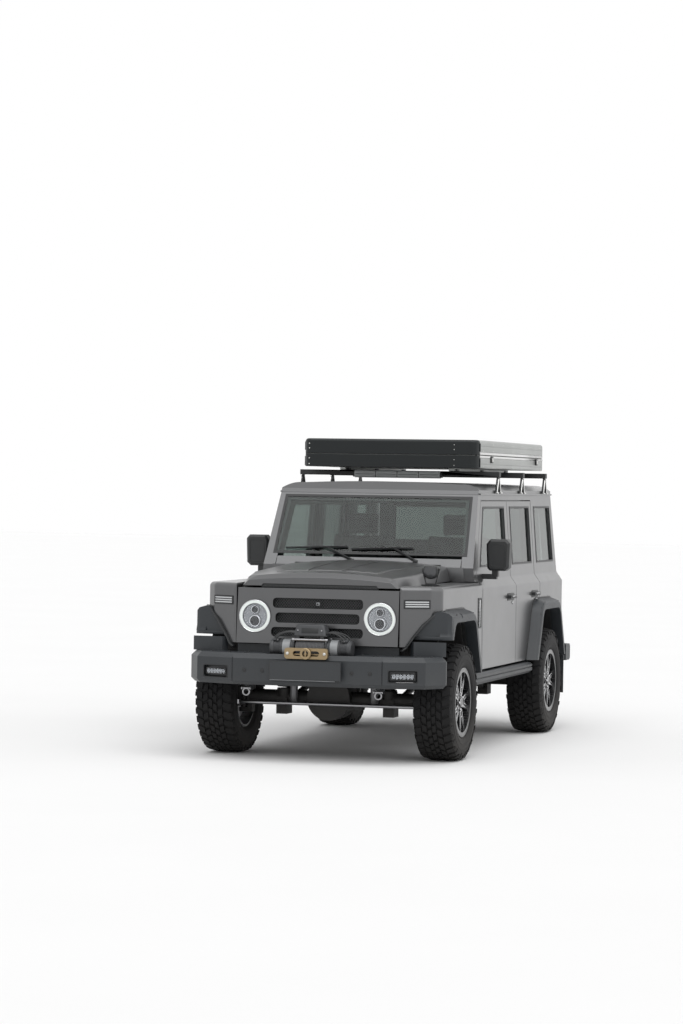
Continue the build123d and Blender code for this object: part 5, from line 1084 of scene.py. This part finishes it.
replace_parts(finishPiece("suspensionParts", bm, ["springDark", "chassisBlack", "damperGrey"]),
            "suspension")
print("suspension made")


# Seats: crowned pads whose sides pull in between the corners, with sewn channels and a seam round the side
def padMarks(half, step, lines):
    count = max(2, round(2 * half / step))
    marks = [-half + 2 * half * k / count for k in range(count + 1)]
    marks = [mark for mark in marks if abs(mark) == half or all(abs(mark - line) > 0.009 for line in lines)]
    return sorted(marks + [line + away for line in lines for away in (-0.0065, 0.0, 0.0065)])


def dipAt(distance, width):
    return math.exp(-(distance / width) ** 2)


# A closed box of quads with one row of points at each mark
def padGrid(marks):
    part = bmesh.new()
    verts = {}

    def point(key):
        if key not in verts:
            verts[key] = part.verts.new([marks[axis][k] for axis, k in enumerate(key)])
        return verts[key]

    for axis in range(3):
        a, b = (axis + 1) % 3, (axis + 2) % 3
        for end in (0, len(marks[axis]) - 1):
            for i in range(len(marks[a]) - 1):
                for j in range(len(marks[b]) - 1):
                    ring = []
                    for stepA, stepB in ((0, 0), (1, 0), (1, 1), (0, 1)):
                        key = [0, 0, 0]
                        key[axis], key[a], key[b] = end, i + stepA, j + stepB
                        ring.append(point(tuple(key)))
                    part.faces.new(ring if end else ring[::-1])
    return part


def padForm(look):
    half = [side / 2 for side in look["size"]]
    soft, seam = look["soft"], half[2] - look["seam"]
    part = padGrid([padMarks(half[0], look["step"], look["across"]),
                    padMarks(half[1], look["step"], look["along"]),
                    padMarks(half[2], look["step"], (seam,))])
    for vert in part.verts:
        x, y, z = vert.co
        u, v, w = x / half[0], y / half[1], z / half[2]
        inner = Vector([max(soft - h, min(h - soft, c)) for h, c in zip(half, vert.co)])
        away = vert.co - inner
        spot = inner + away.normalized() * soft if away.length > 0.00001 else vert.co.copy()
        rise = look["crown"] * (1 - u ** 2) * (1 - v ** 2) * (w + 1) / 2
        if w > 0.999:
            side = max(0.0, min(1.0, (abs(x) - look["panel"] + 0.02) / 0.05))
            rise += look["bolster"] * side * side * (3 - 2 * side) * (1 - u ** 8) * (1 - v ** 8)
            rise -= sum(0.0075 * dipAt(x - line, 0.006) * (1 - v ** 12) for line in look["across"])
            if abs(x) < look["panel"]:
                rise -= sum(0.0065 * dipAt(y - line, 0.006) for line in look["along"])
        spot.z += rise
        dip = 1 - 0.012 * dipAt(z - seam, 0.005)
        spot.x *= (1 - look["pinch"] * (1 - v ** 2)) * dip
        spot.y *= (1 - look["pinch"] * (1 - u ** 2)) * dip
        vert.co = spot
    bmesh.ops.recalc_face_normals(part, faces=part.faces)
    return part


def makePad(name, form, middle, turn, replaced):
    look = {**padLook, **padForms[form]}
    bm = bmesh.new()
    join(bm, padForm(look), 0, shift(*middle) @ turnBy(turn, "X"))
    pad = finishPiece(name, bm, ["seatFabric"], sharp=60)
    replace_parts(pad, replaced)


padLook = {"soft": 0.034, "step": 0.022, "seam": 0.045, "fill": 0.8}
padForms = {
    "cushion": {"size": (0.488, 0.466, 0.15), "crown": 0.016, "pinch": 0.03, "panel": 0.15, "bolster": 0.016,
                "across": (-0.15, 0.15), "along": (-0.11, -0.035, 0.04, 0.115)},
    "back": {"size": (0.47, 0.6, 0.112), "crown": 0.018, "pinch": 0.035, "seam": 0.042, "panel": 0.14,
             "bolster": 0.02, "across": (-0.14, 0.14), "along": (-0.19, -0.11, -0.03, 0.05, 0.13)},
    "head": {"size": (0.24, 0.165, 0.086), "soft": 0.032, "step": 0.012, "crown": 0.012, "pinch": 0.04,
             "seam": 0.036, "panel": 0.09, "bolster": 0.0, "across": (), "along": (0.03,), "fill": 0.9},
    "benchCushion": {"size": (1.156, 0.46, 0.15), "step": 0.026, "crown": 0.014, "pinch": 0.018,
                     "panel": 0.52,
                     "bolster": 0.008, "across": (-0.36, -0.17, 0.17, 0.36), "along": (-0.09, 0.01, 0.11)},
    "benchBack": {"size": (1.15, 0.55, 0.098), "soft": 0.032, "step": 0.026, "crown": 0.015, "pinch": 0.018,
                  "seam": 0.038, "panel": 0.52, "bolster": 0.01, "across": (-0.36, -0.17, 0.17, 0.36),
                  "along": (-0.15, -0.05, 0.05, 0.15)},
}
bm = bmesh.new()
for side, name in ((1, "left"), (-1, "right")):
    x = side * 0.38
    for stem, form, y, z, turn in (("seatCushion_", "cushion", 1.588, 0.918, -3.0),
                                   ("seatBack_", "back", 1.931, 1.262, 77.3),
                                   ("headrest_", "head", 1.985, 1.645, 84.0)):
        makePad(stem + name, form, (x, frontY + y, z), turn, "front_seats")
    for post in (-0.055, 0.055):
        join(bm, bar((x + post, frontY + 1.989, 1.53), (x + post, frontY + 1.989, 1.62), 0.011, 0.011, 0.002,
                     (0, 1, 0)), 1)
    join(bm, span((x - 0.205, frontY + 1.4, 0.765), (x + 0.205, frontY + 1.8, 0.862), 0.012))
    for rail in (x - 0.17, x + 0.17):
        for wide, (y0, y1), (z0, z1) in ((0.02, (1.38, 1.89), (0.72, 0.745)),
                                         (0.014, (1.43, 1.5), (0.74, 0.775)),
                                         (0.014, (1.72, 1.79), (0.74, 0.775))):
            join(bm, span((rail - wide, frontY + y0, z0), (rail + wide, frontY + y1, z1), 0.003), 1)
    join(bm, box((0.47, 0.012, 0.6), 0.004), 0, shift(x, frontY + 1.992, 1.248) @ turnBy(-12.7, "X"))
finishPiece("seatFrames", bm, ["interiorPlastic", "steel"])
makePad("benchCushion", "benchCushion", (0, rearY - 0.41, 0.922), -2.5, "rear_bench")
makePad("benchBack", "benchBack", (0, rearY - 0.07, 1.246), 77.2, "rear_bench")
bm = bmesh.new()
join(bm, span((-0.54, rearY - 0.59, 0.722), (0.54, rearY - 0.19, 0.862), 0.01))
join(bm, box((1.12, 0.01, 0.53), 0.004), 0, shift(0, rearY - 0.018, 1.236) @ turnBy(-12.7, "X"))
finishPiece("benchFrame", bm, ["interiorPlastic"])
print("seats made")

# Cab: screen, dials, vents and glovebox on the dashboard, pad on the steering wheel, levers on the console
roundedCopy("steering_wheel", 0.003, ["trimBlack"])
look = {"rear": frontY + 1.13, "lean": -104.6, "hub": (0.38, frontY + 1.235, 1.215), "tilt": -65.0,
        "gaiter": [(0.0, 0.0), (0.045, 0.0), (0.038, 0.016), (0.024, 0.034), (0.014, 0.046), (0.0, 0.048)],
        "knob": [(0.0, -0.024), (0.016, -0.022), (0.024, -0.006), (0.024, 0.012), (0.016, 0.024),
                 (0.0, 0.027)]}


def onDash(x, z, out):
    return shift(x, look["rear"] - (1.25 - z) * 0.06 / 0.23, z) @ turnBy(look["lean"], "X") @ shift(0, 0, out)


bm = bmesh.new()
for size, soft, index, at in (
        ((0.29, 0.17, 0.016), 0.005, 0, onDash(0, 1.158, 0.004)),
        ((0.262, 0.142, 0.004), 0.001, 1, onDash(0, 1.158, 0.0125)),
        ((0.38, 0.1, 0.008), 0.003, 0, onDash(-0.41, 1.095, 0.003)),
        ((0.07, 0.014, 0.008), 0.003, 2, onDash(-0.41, 1.12, 0.009)),
        ((0.026, 0.19, 0.024), 0.008, 0, shift(0.06, 0.09, 1.012) @ turnBy(8, "X"))):
    join(bm, box(size, soft), index, at)
for count in range(5):
    join(bm, disc(0.009, 0.012, 0.002, 20), 0, onDash(0.04 * count - 0.08, 1.055, 0.006))
for x in (0.31, 0.45):
    join(bm, roundRing(0.048, 0.005, 40, 8), 0, onDash(x, 1.19, 0.004))
    join(bm, disc(0.046, 0.003, 0.0006, 40), 1, onDash(x, 1.19, 0.002))
    join(bm, bar((0, 0, 0), (0.022, 0.024, 0), 0.003, 0.002), 2, onDash(x, 1.19, 0.0045))
for x in (-0.6, -0.205, 0.205, 0.6):
    vent = onDash(x, 1.205, 0.003)
    for side in (-1, 1):
        join(bm, box((0.11, 0.006, 0.008), 0.0015), 0, vent @ shift(0, side * 0.03, 0))
        join(bm, box((0.006, 0.066, 0.008), 0.0015), 0, vent @ shift(side * 0.055, 0, 0))
    for count in range(4):
        join(bm, box((0.104, 0.003, 0.007), 0.0008), 2, vent @ shift(0, 0.012 * count - 0.018, 0))
join(bm, turned(look["gaiter"], 28), 0, (0, -0.12, 0.99))
join(bm, bar((0, -0.12, 1.03), (0, -0.095, 1.125), 0.014, 0.014, 0.004), 2)
join(bm, turned(look["knob"], 24), 0, (0, -0.093, 1.138))
join(bm, span((-0.105, 0.12, 0.985), (0.045, 0.27, 1.03), 0.014))
finishPiece("cabDetails", bm, ["interiorPlastic", "smokedLens", "brightPlastic"])
bm = bmesh.new()
hub = shift(*look["hub"]) @ turnBy(look["tilt"], "X")
join(bm, box((0.15, 0.12, 0.036), 0.014, 3), 0, hub @ shift(0, 0, 0.02))
for x in (-0.105, 0.105):
    join(bm, box((0.036, 0.03, 0.008), 0.003), 1, hub @ shift(x, 0, 0.017))
finishPiece("wheelPad", bm, ["interiorPlastic", "brightPlastic"], "steering_wheel")
print("cab made")

# Tail: bare plate and lamp bezels with their rings
look = {"plate": tailY + 0.095, "x": 0.78, "z": 0.99,
        "reflector": [(0.0, 0.0), (0.024, 0.0), (0.018, 0.0035), (0.008, 0.0055), (0.0, 0.006)]}
bm = bmesh.new()
join(bm, box((0.534, 0.006, 0.12), 0.002), 0, (0, look["plate"] + 0.003, 0.6105))
join(bm, box((0.52, 0.002, 0.11), 0.0008), 1, (0, look["plate"] + 0.0068, 0.6105))
lampPlace = shift(look["x"], tailY, look["z"])
fourBars(bm, 0.054, (0.113, 0.121), (0.046, 0.054), 0.116, (0, 0.02), 0.003, 0, lampPlace)
for z in (-0.045, 0.045):
    join(bm, span((-0.047, 0.018, z - 0.002), (0.047, 0.0275, z + 0.002), 0.001), 0, lampPlace, True)
for z in (-0.08, 0, 0.08):
    join(bm, roundRing(0.03, 0.0022, 32, 6), 0, lampPlace @ shift(0, 0.0262, z) @ turnBy(-90, "X"), True)
    join(bm, turned(look["reflector"], 28), 2, lampPlace @ shift(0, 0.0258, z) @ turnBy(-90, "X"), True)
finishPiece("tailDetails", bm, ["trimBlack", "plateBlank", "tailRed"])


# A point on the tailgate's outer face, which leans above the waist
def onGate(x, z, out=0.0):
    return Vector((x, tailY - max(0.0, z - 1.262) / 0.621 * 0.07 + out, z))


# Tailgate: handle, hinge bolts, wiper and window seal
bm = bmesh.new()
join(bm, span((0.5, tailY, 0.945), (0.645, tailY + 0.005, 1.01), 0.002))
join(bm, span((0.515, tailY + 0.018, 0.968), (0.63, tailY + 0.026, 0.99), 0.003))
for x in (0.522, 0.622):
    join(bm, span((x - 0.006, tailY + 0.003, 0.97), (x + 0.006, tailY + 0.022, 0.988), 0.002))
join(bm, disc(0.01, 0.006, 0.0015, 24), 1, along(0.572, tailY + 0.006, 0.955))
for x in (-0.675, -0.64, -0.615):
    for z in (0.76, 1.18):
        join(bm, disc(0.008, 0.006, 0.0012, 6), 0, along(x, tailY + 0.0165, z))
start = onGate(-0.47, 1.318, 0.004)
join(bm, disc(0.015, 0.02, 0.003, 24), 0, along(*start))
strips = [(start, onGate(-0.15, 1.372, -0.002), 0.012, 0.006, 0.0015),
          (onGate(-0.41, 1.366, -0.008), onGate(0.06, 1.376, -0.008), 0.01, 0.008, 0.002)]
outline = [onGate(x, z, -0.0105) for x, z in ((-0.56, 1.345), (0.56, 1.345), (0.545, 1.78), (-0.545, 1.78))]
strips += [(start, end, 0.018, 0.01, 0.002) for start, end in zip(outline, outline[1:] + outline[:1])]
for strip in strips:
    join(bm, bar(*strip, (0, 1, 0)))
finishPiece("gateDetails", bm, ["trimBlack", "chrome"], "tailgate")

# Exhaust tip, closed a little inside its mouth by a dark disc of painted shade
look = {"middle": (0.265, tailY - 0.06, 0.52), "run": (0.04, 0.473, -0.1),
        "pipe": [(0.0305, -0.09), (0.034, -0.09), (0.035, -0.086), (0.035, 0.01), (0.034, 0.012),
                 (0.0315, 0.012), (0.0305, 0.01)]}
bm = bmesh.new()
run = Vector(look["run"]).normalized()
tipPlace = shift(*look["middle"]) @ run.to_track_quat("Z", "Y").to_matrix().to_4x4()
join(bm, turned(look["pipe"], 36), 0, tipPlace)
# Dark disc across the pipe just inside the mouth: painted shade standing in for the dark inside of the pipe
join(bm, disc(0.03, 0.002, 0.0, 36), 1, tipPlace @ shift(0, 0, 0.0015))
finishPiece("exhaustTip", bm, ["steel", "lampDark"])

# The cowl behind the bonnet takes the body's colour
secondFinish("floor_pan", "bodyPaint", lambda centre: centre.z > 1.33)
print("tail made")

# Studio: pale floor, white surroundings, wide soft light from above and in front
studio = {"floorTone": (0.86, 0.86, 0.86), "floorHalf": 90.0, "skyStrength": 0.55,
          "suns": {"sunFront": (1.9, (0.35, -0.75, 1.6)), "sunSide": (0.5, (1.0, 0.15, 0.5))},
          "sunWidth": 70.0}


def makeStudio(look):
    world = bpy.data.worlds.new("studioWorld")
    scene.world = world
    world.use_nodes = True
    tree = world.node_tree
    made = {"background": tree.nodes["Background"], "path": place(tree, "LightPath"),
            "seen": place(tree, "Math", operation="MAXIMUM"), "any": place(tree, "Math", operation="MAXIMUM"),
            "level": place(tree, "MapRange", {"To Min": look["skyStrength"], "To Max": 1.0})}
    made["background"].inputs["Color"].default_value = (1, 1, 1, 1)
    wire(tree, made, "path.Is Camera Ray > seen.0, path.Is Glossy Ray > seen.1, seen.0 > any.0, "
         "path.Is Transmission Ray > any.1, any.0 > level.Value, level.Result > background.Strength")
    bm = bmesh.new()
    bmesh.ops.create_grid(bm, x_segments=1, y_segments=1, size=look["floorHalf"])
    mesh = bpy.data.meshes.new("studioFloor")
    bm.to_mesh(mesh)
    bm.free()
    floor = bpy.data.objects.new("studioFloor", mesh)
    scene.collection.objects.link(floor)
    tone = look["floorTone"]
    material, tree, shader = newMaterial("studioFloor", {"Specular IOR Level": 0.1})
    drift = drifting(tree, tone, [part * 0.97 for part in tone], 0.6, 0.8)
    wire(tree, {"drift": drift, "shader": shader},
         "drift.Color > shader.Base Color, drift.Roughness > shader.Roughness")
    mesh.materials.append(material)
    for name, (strength, source) in look["suns"].items():
        lamp = bpy.data.lights.new(name, "SUN")
        lamp.energy = strength
        lamp.angle = math.radians(look["sunWidth"])
        sun = bpy.data.objects.new(name, lamp)
        sun.rotation_euler = Vector(source).to_track_quat("Z", "Y").to_euler()
        scene.collection.objects.link(sun)


makeStudio(studio)

# Camera: stands well back with a long lens, slightly turned to the left of the vehicle's front
cameraLook = {"place": (6.2617, -23.0858, 1.9273), "turn": 0.2824, "tip": -0.008, "lean": 0.0155,
              "lens": 110.0, "sensor": 36}


def makeCamera(look):
    turn, tip, lean = look["turn"], look["tip"], look["lean"]
    ahead = Vector((-math.sin(turn) * math.cos(tip), math.cos(turn) * math.cos(tip), math.sin(tip)))
    right = Vector((math.cos(turn), math.sin(turn), 0))
    up = right.cross(ahead)
    leaned = right * math.cos(lean) + up * math.sin(lean)
    upright = up * math.cos(lean) - right * math.sin(lean)
    camera = bpy.data.objects.new("camera", bpy.data.cameras.new("camera"))
    camera.data.lens = look["lens"]
    camera.data.sensor_width = look["sensor"]
    camera.matrix_world = shift(*look["place"]) @ axes(leaned, upright, -ahead)
    scene.collection.objects.link(camera)
    scene.camera = camera


makeCamera(cameraLook)
scene.view_settings.view_transform = "Standard"
